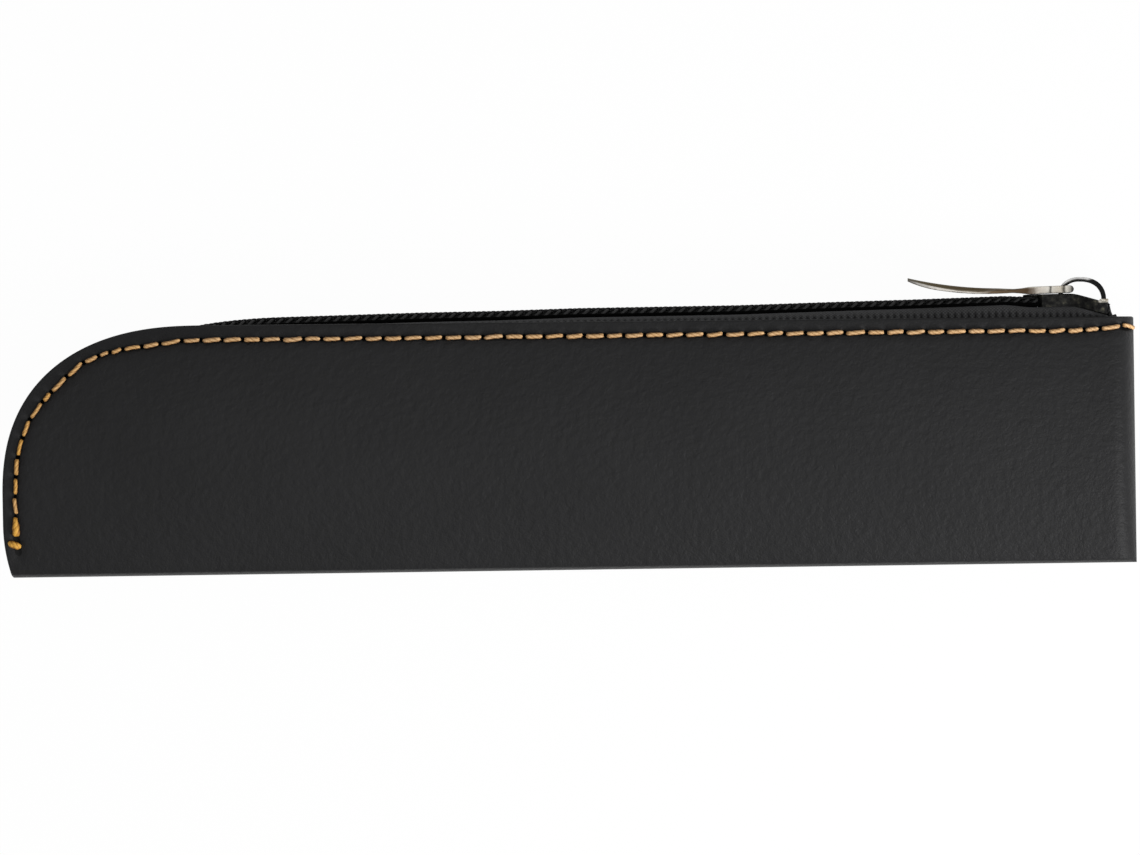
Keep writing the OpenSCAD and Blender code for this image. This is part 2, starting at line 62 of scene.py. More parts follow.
CASE_L, CASE_H, CASE_RISE, CASE_T = 200.0, 43.4, 0.7, 17.0
LEATHER_T = 1.0
CORNER_W, CORNER_Y, CORNER_P = 35.3, 13.7, 2.4
HEEL, HEEL_Y = 1.5, 9.0
FOLD_R, END_R = 0.75, 4.6
LINING_T, LINING_INSET, LAYER_GAP = 0.25, 2.4, 0.13
COIL_PITCH, COIL_H, COIL_REACH, COIL_HOOK, FILAMENT = 1.69, 1.9, 2.7, 0.45, 0.62
TAPE_T, TAPE_TUCK = 0.45, 8.0
ZIP_TILT = 0.75
ZIP_START = (52.0, 44.35)
ZIP_DROP = (49.6, 32.35)
ZIP_FOOT = 7.0
SLIDER_BACK, SLIDER_HALF, NOSE_L = 10.65, 6.5, 6.95
DIVE_R, DIVE_L = 1.6, 5.0
DIP_FROM, DIP_BEND, DIP_SLOPE = -0.8, 2.0, 0.28
STITCH_PITCH, THREAD_D = 3.54, 0.8

HALF_T = CASE_T / 2
BAND_OUT = LEATHER_T + LAYER_GAP
BAND_IN = BAND_OUT + TAPE_T
LINING_OUT = BAND_IN + LAYER_GAP
FULL_Y, FOLD_SHARE, MOUTH_SHARE = 27.0, 0.5, 0.8
END_SHARE, END_RUN, LEFT_SHARE, LEFT_RUN = 0.86, 45.0, 0.75, 40.0
BACK_PRESS = 1.06
FRONT, BACK = 1, -1
SIDES = (("front", FRONT), ("back", BACK))
MM = 0.001


def rows(points):
    """Points in the case's frame, in millimetres, as metres in the model's frame."""
    return (np.asarray(points, float) - [CASE_L / 2, CASE_H / 2, -HALF_T]) * MM


# ---------- Shape of the panels ----------


def quarter(d, r):
    return np.sqrt(np.clip(1 - (1 - np.clip(d, 0, r) / r) ** 2, 0, None))


def end_round(d):
    """The sewn end's section, which starts without a visible line."""
    return np.sqrt(1 - (1 - np.clip(d, 0, END_R) / END_R) ** 3)


def ease(d, run):
    return 1 - (1 - np.clip(d, 0, run) / run) ** 2


def smooth(t):
    t = np.clip(t, 0, 1)
    return t * t * (3 - 2 * t)


def unit(v):
    return v / np.maximum(np.linalg.norm(v, axis=-1, keepdims=True), 1e-9)


def around(sides):
    return np.linspace(0, 2 * math.pi, sides, endpoint=False)


def stacked(*parts):
    """Points from their coordinates."""
    return np.stack(np.broadcast_arrays(*parts), -1)


def left_x(y, inset=0.0):
    """The left edge, which rounds over at the top and draws in at the fold."""
    share = np.clip((y - CORNER_Y) / (CASE_H - inset - CORNER_Y), 0, 1)
    bend = 1 - np.clip(1 - share**CORNER_P, 0, None) ** (1 / CORNER_P)
    heel = HEEL * np.clip(1 - y / HEEL_Y, 0, None) ** 2
    return inset + np.where(y > CORNER_Y, (CORNER_W - inset) * bend, heel)


def half_at(x, y, depth):
    """Half the case's thickness inside a depth of layers."""
    pinch = (np.clip(y - FULL_Y, 0, None) / (CASE_H - FULL_Y)) ** 2
    return (
        (HALF_T - depth)
        * quarter(y - depth, FOLD_R)
        * (FOLD_SHARE + (1 - FOLD_SHARE) * ease(y - depth, FULL_Y))
        * (1 - (1 - MOUTH_SHARE) * pinch)
        * end_round(CASE_L - depth - x)
        * (END_SHARE + (1 - END_SHARE) * ease(CASE_L - depth - x, END_RUN))
        * (LEFT_SHARE + (1 - LEFT_SHARE) * ease(x - left_x(y), LEFT_RUN))
    )


def side_z(x, y, depth, side):
    half = half_at(x, y, depth)
    return half if side == FRONT else -np.minimum(BACK_PRESS * half, HALF_T - depth)


def lifted(x, y):
    """The panel grows higher from the sewn end to the rounded corner."""
    return y * (1 + CASE_RISE / CASE_H * (CASE_L - x) / (CASE_L - CORNER_W))


def panel_point(x, y, depth, side):
    return stacked(x, lifted(x, y), side_z(x, y, depth, side))


# ---------- Paths of the leather's edge and of the zipper ----------


class Path:
    """A line in x and y, measured along its length."""

    def __init__(self, points):
        self.points = np.asarray(points, float)
        steps = np.linalg.norm(np.diff(self.points, axis=0), axis=1)
        self.s = np.concatenate([[0], np.cumsum(steps)])
        self.length = self.s[-1]

    def at(self, s):
        return stacked(*(np.interp(s, self.s, v) for v in self.points.T))

    def along(self, s):
        """Unit direction at a length."""
        step = 0.2
        ahead = self.at(np.clip(s + step, step, self.length))
        return unit(ahead - self.at(np.clip(s - step, 0, self.length - step)))


def bow(w, h):
    """The rounded corner's curve, from its foot to its top."""
    a = np.radians(np.arange(0, 90.1, 1.5))
    across, up = (np.clip(f(a), 0, 1) ** (2 / CORNER_P) for f in (np.cos, np.sin))
    return stacked(-w * across, h * up)


def edge_points():
    low = np.arange(4, CORNER_Y - 0.1, 0.75)
    corner = [CORNER_W, CORNER_Y] + bow(CORNER_W, CASE_H - CORNER_Y)
    return np.concatenate([stacked(left_x(low), low), corner, [[EDGE_END_X, CASE_H]]])


def dip(x):
    d = np.clip(x - DIP_FROM, 0, None)
    return -DIP_SLOPE * np.where(d < DIP_BEND, d * d / (2 * DIP_BEND), d - DIP_BEND / 2)


EDGE_END_X = CASE_L - 3.2
ZIP_RUN = CASE_L - ZIP_START[0] - SLIDER_BACK
DIP_ANGLE = math.atan(DIP_SLOPE)
NOSE_X = np.array([DIP_FROM, *np.linspace(0, NOSE_L, 10)])


def zip_points():
    """The zipper's middle: foot, corner, straight run, nose and the dive behind it."""
    drop_x, drop_y = ZIP_DROP
    turn = DIP_ANGLE + (math.pi / 2 - DIP_ANGLE) * np.linspace(1 / 12, 1, 12)
    end = np.array([ZIP_RUN + NOSE_L, dip(NOSE_L)])
    dive = end + DIVE_R * stacked(
        np.sin(turn) - math.sin(DIP_ANGLE), np.cos(turn) - math.cos(DIP_ANGLE)
    )
    foot = [[-drop_x, -drop_y - ZIP_FOOT]]
    corner = [0, -drop_y] + bow(drop_x, drop_y)
    nose_run = stacked(ZIP_RUN + NOSE_X, dip(NOSE_X))
    local = np.concatenate([foot, corner, nose_run, dive, [dive[-1] - [0, DIVE_L]]])
    c, s = math.cos(math.radians(ZIP_TILT)), math.sin(math.radians(ZIP_TILT))
    return ZIP_START + local @ np.array([[c, s], [-s, c]])


zipper = Path(zip_points())
edge = Path(edge_points())
S_DIVE = zipper.length - DIVE_L - DIVE_R * (math.pi / 2 - DIP_ANGLE)
nose = Path(stacked(NOSE_X, dip(NOSE_X)))
S_SLIDER = S_DIVE - nose.length + nose.s[1]
S_STRAIGHT = S_SLIDER - nose.s[1] - ZIP_RUN - DIP_FROM
S_MOUTH = S_SLIDER - SLIDER_HALF
S_FIRST_TURN = 4.4
S_LAST_TURN = S_DIVE - 1.1


# How far the slider's neck pushes each coil aside, and where and over what length
NECK_APART, NECK_FROM, NECK_L = 1.35, -0.5, 4.7


def spread(s):
    """How far a coil is pushed aside at a length along the zipper."""
    return NECK_APART * smooth((s - S_SLIDER - NECK_FROM) / NECK_L)


def beside(s, n, z):
    """A place beside the zipper's middle: out of the mouth by n, sideways by z."""
    p, d = zipper.at(s), zipper.along(s)
    return stacked(p[..., 0] - n * d[..., 1], p[..., 1] + n * d[..., 0], z)


# ---------- Meshes ----------


def make_object(name, points, faces, weld=False, **vectors):
    """A smooth closed mesh from points in the case's frame, with vectors on them.

    weld joins the points that meet.
    """
    mesh = bpy.data.meshes.new(name)
    mesh.from_pydata([tuple(p) for p in rows(points)], [], [tuple(f) for f in faces])
    mesh.validate()
    for key, values in vectors.items():
        add_vectors(mesh, key, values)
    bm = bmesh.new()
    bm.from_mesh(mesh)
    if weld:
        bmesh.ops.remove_doubles(bm, verts=bm.verts, dist=1e-6)
    bmesh.ops.recalc_face_normals(bm, faces=bm.faces)
    bm.to_mesh(mesh)
    bm.free()
    mesh.polygons.foreach_set("use_smooth", [True] * len(mesh.polygons))
    return add_object(name, mesh)


def add_object(name, data):
    obj = bpy.data.objects.new(name, data)
    bpy.context.scene.collection.objects.link(obj)
    return obj


def add_vectors(mesh, name, values):
    attribute = mesh.attributes.new(name, "FLOAT_VECTOR", "POINT")
    attribute.data.foreach_set("vector", np.asarray(values, np.float32).ravel())


def quads(rows_n, cols_n, start=0):
    """Faces of a grid of points that starts at an index."""
    r, c = np.meshgrid(np.arange(rows_n - 1), np.arange(cols_n - 1), indexing="ij")
    corner = (r * cols_n + c).ravel() + start
    return np.stack([corner, corner + 1, corner + cols_n + 1, corner + cols_n], -1)


def strip(a, b):
    """Faces between two equally long lines of point numbers."""
    return np.stack([a[:-1], a[1:], b[1:], b[:-1]], -1)


def tubes(name, lines, rings, **vectors):
    """Closed tubes along lines, with each ring given by its offsets from the line.

    lines is (tube, point, 3); rings is (tube, point, side, 3).
    """
    lines, rings = np.array(lines), np.array(rings)
    count, length, sides = rings.shape[:3]
    points = (lines[:, :, None, :] + rings).reshape(-1, 3)
    first = np.arange(length) * sides
    wall = np.concatenate([quads(length, sides), strip(first, first + sides - 1)])
    faces = []
    for start in range(0, count * length * sides, length * sides):
        faces.extend((wall + start).tolist())
        for cap in (start, start + first[-1]):
            faces.append(list(range(cap, cap + sides)))
    return make_object(name, points, faces, **vectors)


def oval_rings(line, u, half_u, half_v, theta):
    """Rings across a line, with their half sizes along u and square to it."""
    v = np.cross(unit(np.gradient(line, axis=0)), u)
    return (
        u[:, None, :] * (half_u * np.cos(theta))[..., None]
        + v[:, None, :] * (half_v * np.sin(theta))[..., None]
    )


# ---------- Materials ----------

# Sizes of the painted shade round a needle's hole, along and across the seam, and along
# the seam's crease
HOLE_L, HOLE_W, CREASE_W = 0.5, 0.68, 0.7


class Material:
    """A node material built round one Principled shader."""

    def __init__(self, name, **inputs):
        self.name = name
        self.material = bpy.data.materials.new(name)
        self.material.use_nodes = True
        self.tree = self.material.node_tree
        self.shader = self.tree.nodes["Principled BSDF"]
        self.normal = None
        self.place = self.node("ShaderNodeTexCoord").outputs["Object"]
        for key, value in inputs.items():
            self.shader.inputs[key.replace("_", " ")].default_value = value

    def node(self, kind, **inputs):
        made = self.tree.nodes.new(kind)
        for key, value in inputs.items():
            key = key.replace("_", " ") if key[0].isupper() else key
            if key in made.inputs:
                made.inputs[key].default_value = value
            else:
                setattr(made, key, value)
        return made

    def link(self, output, target):
        self.tree.links.new(output, target)

    def noise(self, scale, detail=3.0, rough=0.55, stretch=None):
        """Noise with a number of features per metre, or stretched along the axes."""
        made = self.node(
            "ShaderNodeTexNoise", Scale=scale, Detail=detail, Roughness=rough
        )
        source = self.place
        if stretch:
            mapping = self.node("ShaderNodeMapping", Scale=stretch)
            self.link(source, mapping.inputs["Vector"])
            source = mapping.outputs["Vector"]
        self.link(source, made.inputs["Vector"])
        return made.outputs["Fac"]

    def ramp(self, factor, stops):
        """A colour ramp; a stop is a place and a colour."""
        made = self.node("ShaderNodeValToRGB")
        elements = made.color_ramp.elements
        while len(elements) < len(stops):
            elements.new(0.5)
        for element, (place, colour) in zip(elements, stops):
            element.position = place
            element.color = (*colour, 1.0)
        self.link(factor, made.inputs["Fac"])
        return made.outputs["Color"]

    def map_range(self, value, **limits):
        made = self.node("ShaderNodeMapRange", **limits)
        self.link(value, made.inputs["Value"])
        return made.outputs["Result"]

    def between(self, value, low, high):
        """0 at a low value and 1 at a high one."""
        return self.map_range(value, From_Min=low, From_Max=high)

    def roughness(self, factor, low, high):
        self.link(
            self.map_range(factor, To_Min=low, To_Max=high),
            self.shader.inputs["Roughness"],
        )

    def bump(self, height, strength, depth_mm):
        made = self.node("ShaderNodeBump", Strength=strength, Distance=depth_mm * MM)
        self.link(height, made.inputs["Height"])
        if self.normal:
            self.link(self.normal, made.inputs["Normal"])
        self.normal = made.outputs["Normal"]
        self.link(self.normal, self.shader.inputs["Normal"])

    def colour(self, output):
        self.link(output, self.shader.inputs["Base Color"])

    def blend(self, a, b, **settings):
        """A node that blends two colours, and its colour output."""
        made = self.node("ShaderNodeMix", data_type="RGBA", **settings)
        for name, value in (("A", a), ("B", b)):
            socket = next(i for i in made.inputs if i.name == name and i.type == "RGBA")
            self.link(value, socket)
        return made, next(o for o in made.outputs if o.type == "RGBA")

    def times(self, a, b):
        """Product of two colours."""
        return self.blend(a, b, blend_type="MULTIPLY", Factor=1)[1]

    def mix(self, factor, a, b):
        """Colour a where the factor is 0 and b where it is 1."""
        made, mixed = self.blend(a, b)
        self.link(factor, made.inputs["Factor"])
        return mixed

    def near_x(self, low, high):
        """0 at a low x of the model's frame and 1 at a high one, in millimetres."""
        return self.between(self.x, low * MM, high * MM)

    def part(self, vector, axis):
        split = self.node("ShaderNodeSeparateXYZ")
        self.link(vector, split.inputs["Vector"])
        return split.outputs[axis]

    def attribute(self, name):
        return self.node("ShaderNodeAttribute", attribute_name=name).outputs["Vector"]

    def math(self, operation, a, b=0):
        return math_node(self.tree, operation, a, b)

    def plus(self, a, b):
        return self.math("ADD", a, b)

    def minus(self, a, b):
        return self.math("SUBTRACT", a, b)

    def scaled(self, a, b):
        return self.math("MULTIPLY", a, b)

    def sway(self, factor, amount):
        """A factor's swing to either side of its middle."""
        return self.scaled(self.minus(factor, 0.5), amount)


def math_node(tree, operation, a, b):
    """The output of a math node; a and b are numbers or outputs."""
    made = tree.nodes.new("ShaderNodeMath")
    made.operation = operation
    for socket, value in zip(made.inputs, (a, b)):
        if isinstance(value, (int, float)):
            socket.default_value = value
        else:
            tree.links.new(value, socket)
    return made.outputs["Value"]


def grey(level):
    return (level, level, level * 1.01)


def leather_material():
    m = Material("leather", Roughness=0.5, IOR=1.3, Specular_IOR_Level=0.3)
    grain = m.node("ShaderNodeTexVoronoi", feature="DISTANCE_TO_EDGE", Scale=1300)
    m.link(m.place, grain.inputs["Vector"])
    cells = m.between(grain.outputs["Distance"], 0, 0.25)
    patches = m.noise(60, detail=2)
    mottle = m.noise(700, detail=4, rough=0.6)
    base = m.ramp(patches, [(0.3, grey(0.0115)), (0.7, grey(0.0135))])
    field = m.attribute("seam")
    aside = m.part(field, "Y")
    count = m.plus(m.part(field, "X"), 0.5)
    to_hole = m.math("ABSOLUTE", m.minus(m.math("FRACT", count), 0.5))
    along = m.scaled(to_hole, STITCH_PITCH / HOLE_L)
    across = m.scaled(aside, 1 / HOLE_W)
    reach = m.plus(m.math("POWER", along, 2), m.math("POWER", across, 2))
    # Painted shade: near black round each needle hole and darker along the crease
    # beside the thread
    hole = m.ramp(m.math("SQRT", reach), [(0.8, grey(0.02)), (1.0, grey(1))])
    crease = m.scaled(aside, 1 / CREASE_W)
    crease_shade = m.ramp(crease, [(0.75, grey(0.3)), (1.0, grey(1))])
    # Painted shade: the fold along the bottom is darkened
    fold = m.ramp(m.part(field, "Z"), [(0.0, grey(1)), (1.0, grey(0.25))])
    m.colour(m.times(m.times(base, fold), m.times(hole, crease_shade)))
    m.roughness(mottle, 0.46, 0.58)
    m.bump(mottle, 0.9, 0.28)
    m.bump(cells, 0.3, 0.05)
    return m


def hole_material():
    """The unlit inside of a needle's hole."""
    m = Material("needle_hole", Roughness=1.0, Specular_IOR_Level=0.0)
    m.colour(m.ramp(m.noise(5000), [(0.3, grey(0.0006)), (0.7, grey(0.0015))]))
    return m


def thread_material():
    m = Material("topstitch_thread", Roughness=0.6, Specular_IOR_Level=0.3)
    look = m.attribute("stitch")
    tints = [
        (0.0, (0.86, 0.46, 0.075)), (0.08, (0.80, 0.44, 0.11)),
        (0.3, (0.76, 0.45, 0.17)), (1.0, (0.71, 0.46, 0.235)),
    ]
    tint = m.ramp(m.part(look, "X"), tints)
    # Painted shade: darker between the plies and on the thread's flanks, which face
    # aside
    ply_shade = m.ramp(m.part(look, "Y"), [(0.1, (0.62, 0.54, 0.44)), (0.6, grey(1))])
    flank_shade = m.ramp(m.part(look, "Z"), [(0.4, grey(1)), (0.96, (0.24, 0.18, 0.12))])
    fibres = m.noise(4000, detail=2)
    streaks = m.ramp(fibres, [(0.3, (0.78, 0.74, 0.68)), (0.6, grey(1))])
    m.colour(m.times(m.times(tint, m.times(ply_shade, flank_shade)), streaks))
    m.bump(fibres, 0.4, 0.05)
    return m


def weave_material(name, low, high, pitch_mm, depth_mm):
    """Cloth whose yarns follow the piece's own weave attribute, in millimetres.

    The attribute's third number is how deep a place lies between the cloth's ribs; the
    colour is darkened there as painted shade.
    """
    m = Material(name, Roughness=0.85, IOR=1.3, Specular_IOR_Level=0.25)
    place = m.attribute("weave")
    turn = 2 * math.pi / pitch_mm
    warp = m.math("SINE", m.scaled(m.part(place, "X"), turn))
    weft = m.math("SINE", m.scaled(m.part(place, "Y"), turn))
    height = m.between(m.scaled(warp, weft), -1, 1)
    yarns = m.ramp(height, [(0.15, grey(low)), (0.85, grey(high))])
    # Painted shade between the ribs
    ribs = m.ramp(m.part(place, "Z"), [(0.0, grey(1)), (1.0, grey(0.06))])
    m.colour(m.times(yarns, ribs))
    m.bump(height, 0.6, depth_mm)
    m.bump(m.noise(9000, detail=1), 0.25, 0.02)
    return m


def plastic_material(name, level, roughness, specular):
    m = Material(name, Roughness=roughness, IOR=1.5, Specular_IOR_Level=specular)
    wear = m.noise(2500, detail=3)
    m.colour(m.ramp(wear, [(0.35, grey(level * 0.8)), (0.7, grey(level * 1.3))]))
    m.roughness(wear, roughness - 0.08, roughness + 0.1)
    m.bump(wear, 0.2, 0.02)
    return m


def metal_base(name, roughness, metallic=1.0, **inputs):
    """Tumbled metal without its colour; gives the material and its wear."""
    m = Material(name, Roughness=roughness, Metallic=metallic, **inputs)
    m.x, m.y = m.part(m.place, "X"), m.part(m.place, "Y")
    wear = m.noise(900, detail=4, rough=0.6)
    scratches = m.noise(700, detail=2, stretch=(1.0, 9.0, 9.0))
    m.roughness(scratches, roughness - 0.07, roughness + 0.12)
    m.bump(scratches, 0.12, 0.02)
    m.bump(wear, 0.1, 0.03)
    return m, wear


# Where the slider's bare lug starts, in the model's frame
LUG_X, LUG_Y = 93.6, 24.1


def slider_material():
    """Near-black plating, rubbed through in spots and on the bridge's right lug."""
    m, wear = metal_base("slider_metal", 0.3, 0.9)
    blots = m.noise(1000, detail=4, rough=0.65)
    stops = [
        (0.42, (0.002, 0.002, 0.002)), (0.56, (0.009, 0.009, 0.008)),
        (0.66, (0.024, 0.023, 0.017)), (0.76, (0.075, 0.070, 0.050)),
    ]
    plating = m.ramp(blots, stops)
    right = m.near_x(LUG_X, LUG_X + 0.4)
    high = m.between(m.y, LUG_Y * MM, (LUG_Y + 0.3) * MM)
    bare = m.ramp(wear, [(0.3, (0.12, 0.09, 0.05)), (0.5, (0.40, 0.38, 0.33))])
    m.colour(m.mix(m.scaled(right, high), plating, bare))
    return m


# The bridge's crown, how fast its middle line falls to the left and right of it, per
# millimetre, and where its right leg starts; these place its painted light and shade
CROWN_X, CROWN_Y, CROWN_LEFT, CROWN_RIGHT = 90.29, 28.36, 0.15, 0.065
BRIDGE_LEG_X = 93.2


def bridge_material():
    """A dark bar with a painted highlight on its outer, upper side and painted shade
    below that and down its right leg; wear noise breaks the line.
    """
    m, wear = metal_base("bridge_metal", 0.3, Specular_Tint=(0.5, 0.5, 0.5, 1))
    away = m.minus(m.x, CROWN_X * MM)
    fall = m.math("POWER", away, 2)
    left = m.scaled(fall, CROWN_LEFT / MM)
    right = m.scaled(fall, CROWN_RIGHT / MM)
    left = m.scaled(left, m.math("LESS_THAN", away, 0))
    right = m.scaled(right, m.math("GREATER_THAN", away, 0))
    height = m.plus(m.minus(m.y, CROWN_Y * MM), m.plus(left, right))
    height = m.between(height, -0.5 * MM, 0.5 * MM)
    height = m.plus(height, m.sway(wear, 0.25))
    # Painted shade down the right leg; painted highlight above the middle line, painted
    # shade below it
    leg = m.near_x(BRIDGE_LEG_X - 1.2, BRIDGE_LEG_X)
    stops = [
        (0.38, (0.006, 0.006, 0.006)), (0.5, (0.04, 0.038, 0.036)),
        (0.62, (0.20, 0.197, 0.193)), (0.85, (0.35, 0.346, 0.34)),
    ]
    m.colour(m.ramp(m.minus(height, m.scaled(leg, 0.5)), stops))
    return m


# The pull's ends, and the leaf's middle line: where it bends up, how high it is there,
# and its rise
PULL_TIP_X, PULL_END_X = 60.2, 89.5
LEAF_BEND_X, LEAF_Y, LEAF_RISE = 74.5, 26.39, 0.0119
# Colours of the pull's upper and lower halves, from the tip to the head: partly the
# metal's antiqued tone and partly painted light, with shade on the upper side, a bright
# lower edge and dark lines of painted shadow at the head
PULL_HEAD_PAINTED_LIGHT = [
    (0.845, (0.42, 0.40, 0.36)), (0.857, (0.02, 0.018, 0.015)),
    (0.868, (0.40, 0.38, 0.34)), (0.92, (0.36, 0.33, 0.28)),
    (0.942, (0.03, 0.026, 0.02)), (0.958, (0.42, 0.40, 0.36)),
    (1.0, (0.012, 0.011, 0.010)),
]
PULL_UPPER_TONE_AND_SHADE = [
    (0.0, (0.13, 0.12, 0.10)), (0.1, (0.11, 0.094, 0.067)),
    (0.45, (0.085, 0.068, 0.048)), (0.52, (0.14, 0.12, 0.10)),
    (0.70, (0.26, 0.24, 0.20)), *PULL_HEAD_PAINTED_LIGHT,
]
PULL_LOWER_TONE_AND_LIGHT = [
    (0.0, (0.13, 0.12, 0.11)), (0.06, (0.45, 0.43, 0.40)), (0.25, (0.38, 0.36, 0.33)),
    (0.42, (0.30, 0.28, 0.25)), (0.50, (0.085, 0.06, 0.038)),
    (0.72, (0.045, 0.028, 0.016)), (0.76, (0.14, 0.12, 0.10)),
    (0.79, (0.36, 0.33, 0.29)), *PULL_HEAD_PAINTED_LIGHT,
]


def pull_material():
    """Antiqued nickel, partly its brown tone and partly painted light: painted shade on
    top, a painted highlight below the leaf and at the head, and painted shadow lines at
    the head.
    """
    m, wear = metal_base("pull_metal", 0.42, Specular_Tint=(0.45, 0.42, 0.37, 1))
    along = m.plus(m.near_x(PULL_TIP_X, PULL_END_X), m.sway(wear, 0.03))
    before = m.math("MINIMUM", m.minus(m.x, LEAF_BEND_X * MM), 0)
    rise = m.scaled(m.math("POWER", before, 2), LEAF_RISE / MM)
    height = m.minus(m.minus(m.y, LEAF_Y * MM), rise)
    height = m.plus(height, m.sway(wear, 0.2 * MM))
    bend = m.near_x(LEAF_BEND_X - 1, LEAF_BEND_X + 1.5)
    height = m.minus(height, m.scaled(bend, 0.38 * MM))
    neck = m.near_x(LEAF_BEND_X + 3, LEAF_BEND_X + 7)
    height = m.minus(height, m.scaled(neck, 0.3 * MM))
    # Painted light and shade: the shaded colours above the leaf's middle line, the lit
    # ones below
    upper = m.between(height, -0.18 * MM, -0.04 * MM)
    m.colour(m.mix(upper, m.ramp(along, PULL_LOWER_TONE_AND_LIGHT), m.ramp(along, PULL_UPPER_TONE_AND_SHADE)))
    return m


def board_material():
    m = Material("interlining", Roughness=0.9)
    fibres = m.noise(1800, detail=5, rough=0.7)
    m.colour(m.ramp(fibres, [(0.3, (0.24, 0.22, 0.19)), (0.7, (0.34, 0.32, 0.28))]))
    m.bump(fibres, 0.4, 0.08)
    return m


MADE = (
    leather_material(),
    thread_material(),
    weave_material("zipper_tape", 0.040, 0.090, 0.6, 0.1),
    hole_material(),
    weave_material("lining", 0.014, 0.026, 0.5, 0.06),
    board_material(),
    plastic_material("zipper_coil", 0.012, 0.48, 0.24),
    # Painted shade: a near-black cord with almost no gloss, for the groove behind each
    # coil
    plastic_material("zipper_cord", 0.0015, 0.9, 0.02),
    plastic_material("coil_thread", 0.014, 0.75, 0.14),
    plastic_material("zipper_stops", 0.008, 0.5, 0.3),
    slider_material(),
    bridge_material(),
    pull_material(),
)
MATERIALS = {m.name: m.material for m in MADE}


def cover(obj, look):
    obj.data.materials.clear()
    obj.data.materials.append(MATERIALS[look])


def finish_piece(obj, slot, body="case", stands_for=(), look=None):
    """Gives a piece its material and its body, and hides the CAD nodes that it stands
    for.
    """
    cover(obj, look or slot)
    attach(obj, body)
    if stands_for:
        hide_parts(*stands_for)


# ---------- The seam line ----------

# Distance of the hand-guided seam from the leather's edge, along the edge
SEAM_INSET = (
    (0, 2.22), (20, 2.35), (25, 2.4), (31, 2.9), (35, 2.85), (39.5, 2.2), (42.5, 2.36),
    (45, 2.4), (51, 2.95), (54, 2.95), (58.5, 2.6), (105, 2.58), (193, 2.4),
)
# Spaces between the needle's holes round the corner, and the last holes in x
CORNER_STITCHES = (
    3.65, 3.4, 3.35, 3.4, 3.5, 3.4, 3.8, 2.25, 3.87, 3.87, 2.85, 2.1, 2.34, 3.4, 3.2,
    3.95,
)
END_HOLES = (177.4, 181.0, 184.6, 188.0, 191.1, 193.9, 197.7)
FIRST_HOLE = 2.75
# How far the seam lies above its guide, along x
SEAM_LIFT = ((0, 0), (190, 0), (192.5, 0.1), (195, 0.4), (197.5, 0.65), (200, 0.2))


def seam_points():
    e = np.arange(0, edge.length + 3.01, 0.25)
    p, d = edge.at(e), edge.along(np.minimum(e, edge.length - 0.1))
    p[:, 0] += np.clip(e - edge.length, 0, None)
    knots, insets = np.array(SEAM_INSET).T
    inset = np.interp(e, knots, insets)
    inset = np.convolve(np.pad(inset, 8, mode="edge"), np.ones(17) / 17, "valid")
    p += inset[:, None] * stacked(d[:, 1], -d[:, 0])
    lift_x, lift = np.array(SEAM_LIFT).T
    p[:, 1] += np.interp(p[:, 0], lift_x, lift)
    return p


seam = Path(seam_points())


def needle_holes():
    """Lengths along the seam: listed round the corner and at the end, even between."""
    corner = FIRST_HOLE + np.concatenate([[0], np.cumsum(CORNER_STITCHES)])
    high = seam.points[:, 1] > CORNER_Y
    end = np.interp(END_HOLES, seam.points[high, 0], seam.s[high])
    count = round((end[0] - corner[-1]) / STITCH_PITCH)
    run = np.linspace(corner[-1], end[0], count + 1)[1:-1]
    return np.concatenate([corner, run + rng.uniform(-0.2, 0.2, len(run)), end])


hole_s = needle_holes()


# ---------- Leather ----------

# How near the edge the leather knows its place along the seam, and the distance from
# the seam that stands for anything farther
SEAM_REACH, FAR = 8, 9


def seam_field(points):
    """Hole count along the seam and distance from it, for points in x and y."""
    line_s = np.arange(0, seam.length, 0.05)
    places = seam.at(line_s)
    tree = KDTree(len(places))
    for i, (x, y) in enumerate(places):
        tree.insert((x, y, 0), i)
    tree.balance()
    count = np.interp(line_s, hole_s, np.arange(len(hole_s)))
    x, y = points.T
    near = ((y > CASE_H - SEAM_REACH) | (x < left_x(y) + SEAM_REACH)) & (y > 2)
    field = np.zeros((len(points), 3))
    field[:, 1] = FAR
    for k in np.flatnonzero(near):
        _, i, d = tree.find((x[k], y[k], 0))
        field[k] = count[i], d, 0
    return field


def skin(depth, inset, heights, shares):
    """Both panels of a pocket as one grid, from the front mouth round the fold."""
    grid = []
    for panel, side in ((heights[::-1], FRONT), (heights[1:], BACK)):
        for y in panel:
            x0 = left_x(y, inset)
            x = x0 + (CASE_L - depth - x0) * shares
            grid.append(panel_point(x, np.full_like(x, y), depth, side))
    return np.array(grid)


def pocket_heights(depth, inset, fold_n, low_n, step):
    """Heights of a skin's rows: round the fold, up to the corner and up the corner."""
    fold = depth + FOLD_R * (1 - np.cos(np.radians(np.linspace(0, 90, fold_n))))
    low = np.linspace(fold[-1], CORNER_Y, low_n + 2)[1:-1]
    angles = np.arange(0, 90 + step / 2, step)
    rise = np.sin(np.radians(angles)) ** (2 / CORNER_P)
    bend = CORNER_Y + (CASE_H - inset - CORNER_Y) * rise
    return np.concatenate([fold, low, bend])


def shares_along(first_mm, first_step, mid_step):
    """Where a skin's columns lie along a row, from 0 at its left to 1."""
    near = np.arange(0, first_mm, first_step)
    mid = np.arange(first_mm, CASE_L - END_R, mid_step)
    end = CASE_L - END_R * (1 - np.cos(np.radians(np.linspace(90, 0, 16))))
    return np.concatenate([near, mid, end]) / CASE_L


# Steps round a rim, from the outer skin to the inner one
RIM_STEPS = 4


